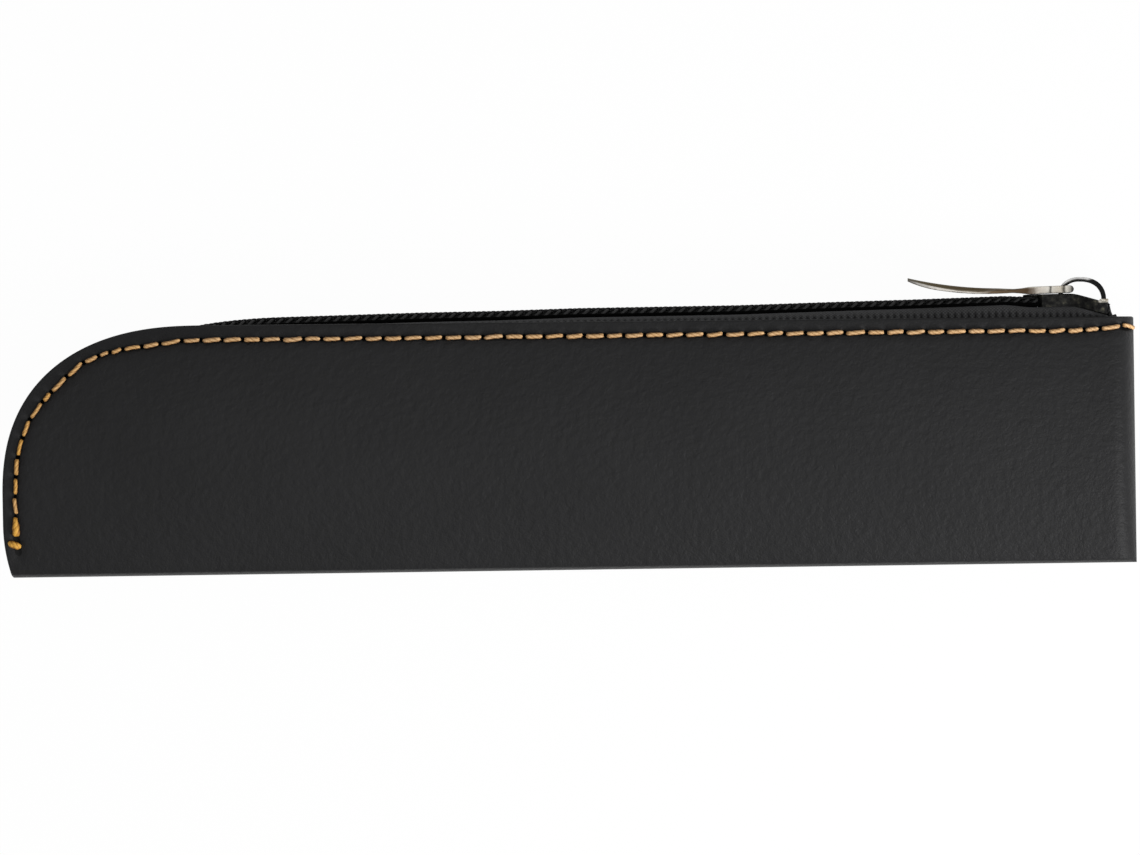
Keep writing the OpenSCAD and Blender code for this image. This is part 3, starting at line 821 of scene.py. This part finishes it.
def pocket(name, depth, thick, rim, inset, row_steps, column_steps, shape=None):
    """A closed pocket with a rounded rim all round its mouth.

    shape changes the outer skin's points in place and gives values for them.
    """
    heights = pocket_heights(depth, inset + rim, *row_steps)
    shares = shares_along(*column_steps)
    outer = skin(depth, inset + rim, heights, shares)
    inner = skin(depth + thick, inset + rim, pocket_like(heights, depth, thick), shares)
    n_rows, n_cols = outer.shape[:2]
    flat, flat_in = outer.reshape(-1, 3), inner.reshape(-1, 3)
    values = shape(flat) if shape else None
    ring = rim_order(n_rows, n_cols)
    out_ring, in_ring = flat[ring], flat_in[ring]
    away = rim_away(outer, ring)
    parts, offset = [flat, flat_in], n_rows * n_cols
    last, faces = ring, [quads(n_rows, n_cols), quads(n_rows, n_cols, offset)]
    for k in range(1, RIM_STEPS + 1):
        a = math.pi * k / (RIM_STEPS + 1)
        parts.append(
            (out_ring + in_ring) / 2
            + (out_ring - in_ring) / 2 * math.cos(a)
            + away * rim * math.sin(a)
        )
        ids = 2 * offset + (k - 1) * len(ring) + np.arange(len(ring))
        faces.append(strip(last, ids))
        last = ids
    faces.append(strip(last, ring + offset))
    points, vectors = np.concatenate(parts), {}
    if shape:
        far = [(0, FAR, 0)] * (len(points) - len(values))
        vectors["seam"] = np.concatenate([values, far])
    return make_object(name, points, np.concatenate(faces), weld=True, **vectors)


def pocket_like(heights, depth, thick):
    """The inner skin's heights: the same rows, shifted up round the fold."""
    return heights + thick * np.clip(1 - (heights - depth) / (CORNER_Y - depth), 0, 1)


def rim_order(n_rows, n_cols):
    """Point numbers round the mouth: front lip, left edge, back lip."""
    front_lip = np.arange(n_cols)[::-1]
    left = np.arange(1, n_rows - 1) * n_cols
    back_lip = (n_rows - 1) * n_cols + np.arange(n_cols)
    return np.concatenate([front_lip, left, back_lip])


def rim_away(grid, ring):
    """Directions in x and y that point out of the mouth at the rim's points."""
    line = grid.reshape(-1, 3)[ring][:, :2]
    d = unit(np.gradient(line, axis=0))
    out = stacked(-d[:, 1], d[:, 0], 0)
    centre = np.array([CASE_L / 2, CASE_H / 2])
    flip = np.sign(np.einsum("ij,ij->i", out[:, :2], line - centre))
    return out * flip[:, None]


# The seam's valley, how much deeper it is at a hole and over what share of the pitch,
# and the height below which the fold's colour is darkened as painted shade
VALLEY_W, VALLEY_DEPTH, HOLE_DEEPER, HOLE_SHARE = 1.1, 0.2, 1.2, 0.2
FOLD_SHADE_H = 0.6


def press_seam(flat):
    """Pulls the leather in along the seam, most at the holes; gives the seam field,
    whose third number paints shade along the fold.
    """
    plain = flat.copy()
    plain[:, 1] /= lifted(flat[:, 0], np.ones(len(flat)))
    field = seam_field(plain[:, :2])
    valley = np.exp(-((field[:, 1] / VALLEY_W) ** 2))
    to_hole = np.abs((field[:, 0] + 0.5) % 1 - 0.5)
    deeper = 1 + HOLE_DEEPER * np.exp(-((to_hole / HOLE_SHARE) ** 2))
    depth = VALLEY_DEPTH * valley * deeper
    flat[:, 2] -= np.sign(flat[:, 2]) * depth
    # The field's third number paints shade along the fold
    field[:, 2] = np.clip(1.3 - plain[:, 1] / FOLD_SHADE_H, 0, 1)
    return field


def leather():
    rows_at, columns_at = (10, 10, 1.1), (8, 0.25, 0.36)
    obj = pocket("leather", 0, LEATHER_T, 0.3, 0, rows_at, columns_at, press_seam)
    finish_piece(obj, "leather", stands_for=["leather_shell"])


def lining():
    rows_at, columns_at = (8, 8, 3), (8, 2, 1.2)
    sizes = LINING_OUT, LINING_T, 0.08, LINING_INSET
    obj = pocket("lining", *sizes, rows_at, columns_at)
    co = np.empty(len(obj.data.vertices) * 3)
    obj.data.vertices.foreach_get("co", co)
    x, y, z = co.reshape(-1, 3).T / MM
    add_vectors(obj.data, "weave", stacked(x, y + z, 0))
    finish_piece(obj, "lining", stands_for=["lining"])


# ---------- Topstitching ----------

# How high the thread lies on the leather, how deep its ends go, and how far they stay
# from the holes' middles
THREAD_LIFT, THREAD_SINK, STITCH_TRIM = 0.32, 1.0, 0.54
# Thickness of the first stitch and of the tack, as shares of a plain stitch
FAT_STITCH, TACK = 1.75, 1.65
# Where the last stitch starts, and the tack with its size, in the picture's plane
LAST_STITCH_X, LAST_STITCH_Y = 198.05, 41.85
TACK_X, TACK_Y, TACK_L, TACK_DROP = 1.25, 6.05, 1.45, 0.5


def sewn(x, y, side, t, sharpness, lift=THREAD_LIFT):
    """A stitch's middle line over the leather, which its ends go into."""
    line = panel_point(x, y, 0, side)
    line[:, 2] += side * (lift - THREAD_SINK * np.abs(2 * t - 1) ** sharpness)
    return line


def stitch_line(start, end, side, t):
    """A stitch from one hole to the next."""
    a, b = seam.at(np.array([start + STITCH_TRIM, end - STITCH_TRIM]))
    along = unit(b - a)
    out = np.array([-along[1], along[0]])
    slant = rng.uniform(0.0, 0.32)
    bend = rng.uniform(-0.1, 0.1)
    away = slant * (t - 0.5) + bend * (1 - (2 * t - 1) ** 2)
    xy = a + (b - a) * t[:, None] + out * away[:, None]
    return sewn(*xy.T, side, t, 18)


def end_stitch(side, t):
    """The last stitch, which turns over the sewn end."""
    x = LAST_STITCH_X + (CASE_L - 0.35 - LAST_STITCH_X) * t**0.8
    y = lifted_back(x, LAST_STITCH_Y - 0.5 * t**1.5)
    line = sewn(x, y, side, t, 10)
    line[:, 0] += 0.25 * t**2
    return line


def tack_stitch(side, t):
    """The thick tack across the seam's lower end."""
    x = TACK_X + TACK_L * t
    y = lifted_back(x, TACK_Y - TACK_DROP * t)
    return sewn(x, y, side, t, 6, THREAD_LIFT + 0.1)


def lifted_back(x, y):
    """The panel height that lifted() takes to a height in the picture's plane."""
    return y / lifted(x, 1.0)


def topstitching(word, side):
    t = 0.5 - 0.5 * np.cos(np.linspace(0, math.pi, 26))
    theta = around(24)
    stitches = [(tack_stitch(side, t), TACK)]
    for k, (start, end) in enumerate(zip(hole_s[:-1], hole_s[1:])):
        thick = rng.uniform(0.95, 1.12) * (0.93 if k < len(CORNER_STITCHES) else 1)
        thick = FAT_STITCH if k == 0 else thick
        stitches.append((stitch_line(start, end, side, t), thick))
    stitches.append((end_stitch(side, t), 1.0))
    lines, rings, looks = [], [], []
    for line, thick in stitches:
        u = unit(np.cross([0, 0, side], unit(np.gradient(line, axis=0))))
        twist = 2 * math.pi * 0.75 * t[:, None] + rng.uniform(0, 6)
        ply = np.abs(np.cos(1.5 * (theta[None, :] - twist)))
        taper = 1 - 0.16 * np.abs(2 * t - 1) ** 12
        if thick == FAT_STITCH:
            taper = 0.62 + 0.38 * smooth((1 - t) * 1.6)
        r = THREAD_D / 2 * thick * taper[:, None] * (0.82 + 0.18 * ply**0.7)
        lines.append(line)
        rings.append(oval_rings(line, u, r, 0.85 * r, theta))
        warm = np.clip(line[0, 0] / 60, 0, 0.75) + rng.uniform(-0.02, 0.25)
        warm = 0.0 if thick in (FAT_STITCH, TACK) else warm
        # The look's second number gives painted shade between the plies, its third
        # painted shade on the flanks
        looks.append(stacked(warm, ply, np.abs(np.cos(theta))))
    obj = tubes(f"{word}_topstitches", lines, rings, stitch=looks)
    finish_piece(obj, "topstitch_thread", stands_for=[f"{word}_topstitching"])


# A needle hole's pit: half length and width, how deep it lies and half its height
PIT_L, PIT_W, PIT_SINK, PIT_DEPTH = 0.52, 0.58, 0.5, 0.22


def needle_hole_pits(word, side):
    """Near-black pits, painted shade for the insides of the needle's holes, one between
    every two stitches.
    """
    theta = around(18)
    phi = np.linspace(0.12, math.pi - 0.12, 7)
    lines, rings = [], []
    for s in hole_s[1:-1]:
        centre, d = seam.at(s), seam.along(s)
        slant = rng.uniform(0.1, 0.4)
        c, s = math.cos(slant), math.sin(slant)
        d = np.array([d[0] * c - d[1] * s, d[0] * s + d[1] * c])
        out = np.array([-d[1], d[0]])
        length, width = PIT_L * np.cos(theta), PIT_W * np.sin(theta)
        oval = d * length[:, None] + out * width[:, None]
        xy = centre + np.sin(phi)[:, None, None] * oval
        ring = panel_point(xy[..., 0], xy[..., 1], 0, side)
        ring[..., 2] += side * (-PIT_SINK + PIT_DEPTH * np.cos(phi))[:, None]
        line = ring.mean(1)
        lines.append(line)
        rings.append(ring - line[:, None])
    obj = tubes(f"{word}_needle_holes", lines, rings)
    finish_piece(obj, "leather", look="needle_hole")


# ---------- Zipper ----------

# Waves of the chain out of its straight line, along x
CHAIN_LIFT = (
    (50, 0), (56, 0.02), (74, 0.12), (88, 0.05), (102, 0.15), (116, 0.02), (130, -0.1),
    (145, 0), (160, 0.06), (170, 0.16), (177, 0.24), (180, 0.08), (182.5, 0), (200, 0),
)


def chain_lift(s):
    x, lift = np.array(CHAIN_LIFT).T
    return np.interp(zipper.at(s)[..., 0], x, lift)


# A turn's section: the middles of the head's and the back's bends, their radius and
# the straight between them
COIL_A = COIL_H / 2 - COIL_HOOK
COIL_B = COIL_REACH - COIL_H / 2
TURN_R = (COIL_H - FILAMENT) / 2
TURN_STRAIGHT = COIL_B - COIL_A
QUARTER_BEND = math.pi * TURN_R / 2
# The share of a turn over which the filament steps on to the next one, behind
STEP_SHARE = 0.32


def coil(word, side):
    """One continuous filament: flat heads at the middle, a step over at the back."""
    first = S_FIRST_TURN + coil_offset(side)
    turns = int((S_LAST_TURN - first) / COIL_PITCH) + 1
    per_turn = 28
    t = np.arange(turns * per_turn + 1) / per_turn
    round_turn = (t % 1.0) * (4 * QUARTER_BEND + 2 * TURN_STRAIGHT)
    z, n = np.array([lobe_point(q) for q in round_turn]).T
    s = first + COIL_PITCH * (np.floor(t) + step_over(t % 1.0))
    line = beside(s, n + chain_lift(s), side * (z + spread(s)))
    head = np.exp(-(((z - COIL_A + TURN_R) / 0.5) ** 2))
    d = unit(np.gradient(line, axis=0))
    along = np.concatenate([zipper.along(s), np.zeros((len(s), 1))], 1)
    u = unit(along - (along * d).sum(1, keepdims=True) * d)
    wide = FILAMENT / 2 * (1 + 0.22 * head)[:, None]
    thin = FILAMENT / 2 * (1 - 0.1 * head)[:, None]
    ring = oval_rings(line, u, wide, thin, around(8))
    obj = tubes(f"{word}_coil_filament", line[None], ring[None])
    finish_piece(obj, "zipper_coil", stands_for=[f"{word}_coil"])


def coil_offset(side):
    """The back coil's turns lie between the front coil's."""
    return COIL_PITCH / 2 if side == BACK else 0


def step_over(f):
    """Share of the pitch gained within a turn: all of it round the back."""
    half = STEP_SHARE / 2
    return smooth((f - 1 + half) / STEP_SHARE) + smooth((f + half) / STEP_SHARE) - 1.0


def lobe_point(q):
    """z and n at a length round the turn, from the middle of its back, over the top."""
    bends = (
        (QUARTER_BEND, COIL_B, 0),
        (TURN_STRAIGHT, COIL_B, None),
        (2 * QUARTER_BEND, COIL_A, math.pi / 2),
        (TURN_STRAIGHT, COIL_A, None),
        (math.inf, COIL_B, -math.pi / 2),
    )
    side = 1
    for length, middle, start in bends:
        if q < length:
            break
        q -= length
        side = -side if start else side
    if start is None:
        return middle - side * q, side * TURN_R
    a = start + q / TURN_R
    return middle + TURN_R * math.cos(a), TURN_R * math.sin(a)


def turn_wave(s, side):
    """1 where one of the coil's turns is, and -1 between two of them."""
    return np.cos((s - S_FIRST_TURN - coil_offset(side)) / COIL_PITCH * 2 * math.pi)


def cords(name, side, s, places, stands_for=(), look=None):
    """Round cords beside the zipper; a place gives n, z and half sizes along both."""
    u = np.tile([0.0, 0.0, 1.0], (len(s), 1))
    lines, rings = [], []
    for n, z, half_n, half_z in places:
        line = beside(s, n + chain_lift(s), side * (z + spread(s)))
        half_n = np.broadcast_to(half_n, s.shape)[:, None]
        lines.append(line)
        rings.append(oval_rings(line, u, half_z, half_n, around(12)))
    obj = tubes(name, lines, rings)
    finish_piece(obj, "zipper_cord", stands_for=stands_for, look=look)


def coil_cord(word, side):
    """The cord inside a coil, squeezed by the turns and swelling between them."""
    s = np.arange(S_FIRST_TURN - 0.5, S_DIVE - 0.8, COIL_PITCH / 12)
    half_n = 0.50 - 0.19 * turn_wave(s, side)
    place = (0.0, 1.35, half_n, 0.8)
    name, node = f"{word}_coil_cord", f"{word}_coil_core"
    cords(name, side, s, [place], [node], "coil_thread")


def coil_stitching(word, side):
    """The threads that sew a coil to its tape; their ends lie in the slider's mouth."""
    s = np.arange(S_FIRST_TURN, S_MOUTH + 1.2, COIL_PITCH / 8)
    n = COIL_H / 2 - 0.12 + 0.08 * turn_wave(s, side)
    n = n - 0.14 * smooth((s - S_SLIDER + SLIDER_HALF + 0.1) / 0.6)
    over = [(n, z, 0.18, 0.2) for z in (1.0, 1.45, 1.9)]
    cords(f"{word}_coil_stitching", side, s, over, look="coil_thread")


def coil_shoulder_shade(word, side):
    """A near-black cord behind a coil: painted shade that fills the groove between the
    coil and its tape.
    """
    s = np.arange(S_FIRST_TURN, S_MOUTH + 0.3, COIL_PITCH / 8)
    n = -0.4 + 0.02 * turn_wave(s, side)
    cords(f"{word}_coil_shoulder_shade", side, s, [(n, 2.85, 0.42, 0.38)])


# Places on the tape's section, outwards from the zipper's middle: its edge, the end of
# its flat, its crown and bulge, and where it meets the leather's lip
TAPE_TOP = -COIL_H / 2 - 0.05
TAPE_EDGE, TAPE_FLAT, TAPE_CROWN, TAPE_BULGE, TAPE_LIP = 0.55, 2.9, 3.7, 0.34, 0.6
CROWN_APART = 1.0
# The tape's half width where it goes down behind the slider
FLAP_W = 3.8
S_EDGE_STRAIGHT = edge.length - (EDGE_END_X - ZIP_START[0])


def edge_s(s):
    bent = s * S_EDGE_STRAIGHT / S_STRAIGHT
    straight = S_EDGE_STRAIGHT + (s - S_STRAIGHT) * math.cos(math.radians(ZIP_TILT))
    return np.where(s < S_STRAIGHT, bent, straight)


def tucked(s, inset, depth, side):
    e = edge_s(s)
    (x, y), (dx, dy) = edge.at(e).T, edge.along(e).T
    return panel_point(x + inset * dy, y - inset * dx, depth, side)


def tape_lines(s, side, under):
    """The tape's guide lines along the zipper, from its inner to its tucked edge."""
    drop, depth, crown_in = (TAPE_T, BAND_IN, 0.15) if under else (0.0, BAND_OUT, 0.0)
    apart = spread(s)
    bulge = TAPE_BULGE * smooth((np.abs(s - S_SLIDER) - SLIDER_HALF - 0.3) / 5)
    lift = chain_lift(s)
    crown = TAPE_CROWN + np.minimum(apart, CROWN_APART) - crown_in
    lines = [
        beside(s, TAPE_TOP - drop + lift, side * (TAPE_EDGE + apart)),
        beside(s, TAPE_TOP - drop + lift, side * (TAPE_FLAT + apart)),
        beside(s, TAPE_TOP + bulge - drop + lift, side * crown),
    ]
    insets = (TAPE_LIP, TAPE_TUCK / 2, TAPE_TUCK)
    lines.extend(tucked(s, inset, depth, side) for inset in insets)
    flap = []
    for f in np.linspace(0, 1, len(lines)):
        out = TAPE_EDGE + (FLAP_W - TAPE_EDGE) * f
        out = out + np.minimum(apart, NECK_APART * (1 - f))
        flap.append(beside(s, TAPE_TOP - drop, side * out))
    past = smooth((s - (S_DIVE - 1.2)) / 0.8)[:, None]
    return np.array([a * (1 - past) + b * past for a, b in zip(lines, flap)])


def across(lines, parts):
    """Smooth points between guide lines (Catmull-Rom), parts to a gap."""
    before, after = 2 * lines[0] - lines[1], 2 * lines[-1] - lines[-2]
    padded = np.concatenate([[before], lines, [after]])
    made = []
    for i in range(len(lines) - 1):
        p0, p1, p2, p3 = padded[i : i + 4]
        for f in np.arange(parts) / parts:
            square = (2 * p0 - 5 * p1 + 4 * p2 - p3) * f**2
            cube = (3 * p1 - p0 - 3 * p2 + p3) * f**3
            made.append(0.5 * (2 * p1 + (p2 - p0) * f + square + cube))
    made.append(lines[-1])
    return np.array(made)


# The tape's ribs by the leather's lip, and the mesh's rows that they lie on
RIB_PITCH, RIB_DEPTH, RIB_ROWS = 1.19, 0.14, (11.7, 15.2)
ROWS_TO_A_GAP = 5


def tape(word, side):
    s = np.concatenate(
        [np.arange(1, S_DIVE - 2, 0.3), np.arange(S_DIVE - 2, zipper.length - 0.4, 0.1)]
    )
    top = across(tape_lines(s, side, False), ROWS_TO_A_GAP)
    low = across(tape_lines(s, side, True), ROWS_TO_A_GAP)
    n_rows, n_cols = top.shape[:2]
    row = np.arange(n_rows)[:, None]
    thick = unit(top - low)
    first, last = RIB_ROWS
    ribbed = smooth((row - first) / 0.8) * smooth((last - row) / 0.8)
    phase = 2 * math.pi * s[None, :] / RIB_PITCH + 0.5 * np.sin(s[None, :] / 7)
    valley = ribbed * (0.5 + 0.5 * np.sin(phase)) ** 1.5
    top = top - thick * (RIB_DEPTH * valley)[..., None]
    count = n_rows * n_cols
    ids = np.arange(count).reshape(n_rows, n_cols)
    ring = np.concatenate(
        [ids[0], ids[1:, -1], ids[-1, -2::-1], ids[-2:0:-1, 0], ids[0, :1]]
    )
    faces = np.concatenate(
        [quads(n_rows, n_cols), quads(n_rows, n_cols, count), strip(ring, ring + count)]
    )
    points = np.concatenate([top.reshape(-1, 3), low.reshape(-1, 3)])
    # The weave's third number darkens the tape between its ribs as painted shade
    weave = stacked(s[None, :], 0.55 * row, valley)
    obj = make_object(f"{word}_tape_weave", points, faces, weave=[weave, weave])
    finish_piece(obj, "zipper_tape", stands_for=[f"{word}_tape"])


# The tuck from its top down: x, y, half width and half thickness
TUCK = (
    (195.5, 45.8, 0.2, 0.6), (195.55, 45.4, 0.3, 1.4), (195.6, 44.8, 0.36, 2.0),
    (195.65, 44.2, 0.45, 2.4), (195.75, 43.6, 0.6, 2.8), (195.85, 43.0, 0.75, 3.1),
    (195.9, 42.3, 0.85, 3.2), (195.9, 41.5, 0.8, 3.0),
)


def tape_tuck():
    """The tapes' ends, folded together where they go down behind the slider."""
    f = np.linspace(0, len(TUCK) - 1, 24)
    x, y, half_x, half_z = (np.interp(f, range(len(TUCK)), v) for v in np.array(TUCK).T)
    theta = around(40)
    folds = 1 + 0.06 * np.cos(7 * theta) + 0.03 * np.cos(16 * theta)
    line = stacked(x, y, 0)
    wide = half_x[:, None] * np.cos(theta) * folds
    deep = half_z[:, None] * np.sin(theta) * folds
    # The third number darkens the whole tuck as painted shade
    weave = stacked(y[:, None], 3 * theta, 0.35)
    obj = tubes("tape_tuck", line[None], stacked(wide, 0, deep)[None], weave=weave)
    finish_piece(obj, "zipper_tape")


# ---------- Metal and small CAD pieces ----------

# The slider's top plate reaches back over the chain: along, up and half sizes
TAIL_FROM, TAIL_TO, TAIL_N = -8.8, -5.7, 1.22
TAIL_HALF_T, TAIL_HALF_W = 0.26, 2.5


def slider_tail():
    """A thin tongue on the slider's top plate, over the closed chain."""
    x = TAIL_FROM + (TAIL_TO - TAIL_FROM) * np.linspace(0.02, 1, 14) ** 1.6
    share = quarter(x - TAIL_FROM, 1.6)
    theta = around(28)
    z, n = (np.sign(v) * np.abs(v) ** 0.5 for v in (np.cos(theta), np.sin(theta)))
    line = beside(S_SLIDER + x, TAIL_N, 0)
    up = beside(S_SLIDER + x, TAIL_N + 1, 0) - line
    half_w = TAIL_HALF_W * share**0.6
    half_t = TAIL_HALF_T * (0.5 + 0.5 * share)
    ring = up[:, None, :] * (half_t[:, None] * n)[..., None]
    ring = ring + (half_w[:, None] * z)[..., None] * np.array([0, 0, 1.0])
    obj = tubes("slider_tail", line[None], ring[None])
    finish_piece(obj, "slider_metal", "slider")


def soften(obj, voxel_mm, passes):
    """Rounds a CAD piece's edges as casting and tumbling do."""
    remesh = obj.modifiers.new("remesh", "REMESH")
    remesh.mode = "VOXEL"
    remesh.voxel_size = voxel_mm * MM
    remesh.use_smooth_shade = True
    ease_edges = obj.modifiers.new("ease_edges", "SMOOTH")
    ease_edges.factor = 0.5
    ease_edges.iterations = passes


def dress_node(node, slot, voxel_mm=None, passes=4):
    """Gives a solid its material, with its edges softened if a voxel size is given."""
    obj = frame["nodes"][node]
    cover(obj, slot)
    if voxel_mm:
        soften(obj, voxel_mm, passes)


# ---------- Camera, light and floor ----------

# The picture's width, a pixel's size on the case, the picture's middle on the case and
# the picture's turn in degrees
PICTURE_PX, PIXEL_MM = 1140, 0.17662
VIEW_CENTRE = (100.24, 25.16)
VIEW_TURN = 0.8045
CAMERA_HEIGHT_MM = 3000.0
SENSOR_MM = 36.0
FLOOR_HALF_M, FLOOR_GAP_M = 3.0, 0.00005


def camera():
    data = bpy.data.cameras.new("camera")
    data.sensor_width = SENSOR_MM
    data.lens = SENSOR_MM * (CAMERA_HEIGHT_MM - HALF_T) / (PICTURE_PX * PIXEL_MM)
    data.clip_end = 10
    obj = add_object("camera", data)
    obj.location = rows([*VIEW_CENTRE, CAMERA_HEIGHT_MM - HALF_T])
    obj.rotation_euler = (0, 0, -math.radians(VIEW_TURN))
    bpy.context.scene.camera = obj


def lamp(name, place_mm, target_mm, size_mm, watts):
    data = bpy.data.lights.new(name, "AREA")
    data.shape = "RECTANGLE"
    data.size, data.size_y = (v * MM for v in size_mm)
    data.energy = watts
    obj = add_object(name, data)
    obj.location = rows(place_mm)
    aim = Vector(rows(target_mm)) - obj.location
    obj.rotation_mode = "QUATERNION"
    obj.rotation_quaternion = aim.to_track_quat("-Z", "Y")


def white_where_seen(tree, shader_socket, output_socket, share):
    """Shows white to the camera, in gloss and through glass; else the shader."""
    nodes, links = tree.nodes, tree.links
    path = nodes.new("ShaderNodeLightPath")
    seen = path.outputs["Is Camera Ray"]
    for other in ("Is Glossy Ray", "Is Transmission Ray"):
        seen = math_node(tree, "MAXIMUM", seen, path.outputs[other])
    white = nodes.new("ShaderNodeEmission")
    white.inputs["Strength"].default_value = 1.0
    mix = nodes.new("ShaderNodeMixShader")
    links.new(math_node(tree, "MULTIPLY", seen, share), mix.inputs["Fac"])
    links.new(shader_socket, mix.inputs[1])
    links.new(white.outputs[0], mix.inputs[2])
    links.new(mix.outputs[0], output_socket)


def floor():
    mesh = bpy.data.meshes.new("floor")
    w = FLOOR_HALF_M
    corners = [(-w, -w, 0), (w, -w, 0), (w, w, 0), (-w, w, 0)]
    mesh.from_pydata(corners, [], [(0, 1, 2, 3)])
    obj = add_object("floor", mesh)
    obj.location.z = -FLOOR_GAP_M
    material = bpy.data.materials.new("floor")
    material.use_nodes = True
    tree = material.node_tree
    shader = tree.nodes["Principled BSDF"]
    shader.inputs["Base Color"].default_value = (0.95, 0.95, 0.95, 1)
    shader.inputs["Roughness"].default_value = 0.9
    output = tree.nodes["Material Output"]
    white_where_seen(tree, shader.outputs[0], output.inputs["Surface"], 0.975)
    mesh.materials.append(material)


def world():
    made = bpy.data.worlds.new("world")
    bpy.context.scene.world = made
    made.use_nodes = True
    tree = made.node_tree
    background = tree.nodes["Background"]
    background.inputs["Color"].default_value = (1, 1, 1, 1)
    background.inputs["Strength"].default_value = 0.3
    output = tree.nodes["World Output"]
    white_where_seen(tree, background.outputs[0], output.inputs["Surface"], 1.0)


# ---------- The object ----------

camera()
world()
floor()
lamp("key", (410, -190, 230), (110, 15, 0), (200, 200), 1.8)
lamp("fill", (250, -100, 800), (100, 20, 0), (500, 400), 1.2)

leather()
lining()
both_sided = (
    topstitching, tape, coil, coil_stitching, coil_shoulder_shade, coil_cord, needle_hole_pits
)
for make in both_sided:
    for word, side in SIDES:
        make(word, side)
tape_tuck()
slider_tail()

for node in ("front_interlining", "back_interlining"):
    dress_node(node, "interlining")
for node in ("bottom_stop", "front_top_stop", "back_top_stop"):
    dress_node(node, "zipper_stops", 0.08)
dress_node("slider_body", "slider_metal", 0.07, 3)
dress_node("slider_bridge", "bridge_metal", 0.06, 3)
dress_node("pull_tab", "pull_metal", 0.08)

bpy.context.scene.view_settings.view_transform = "Standard"
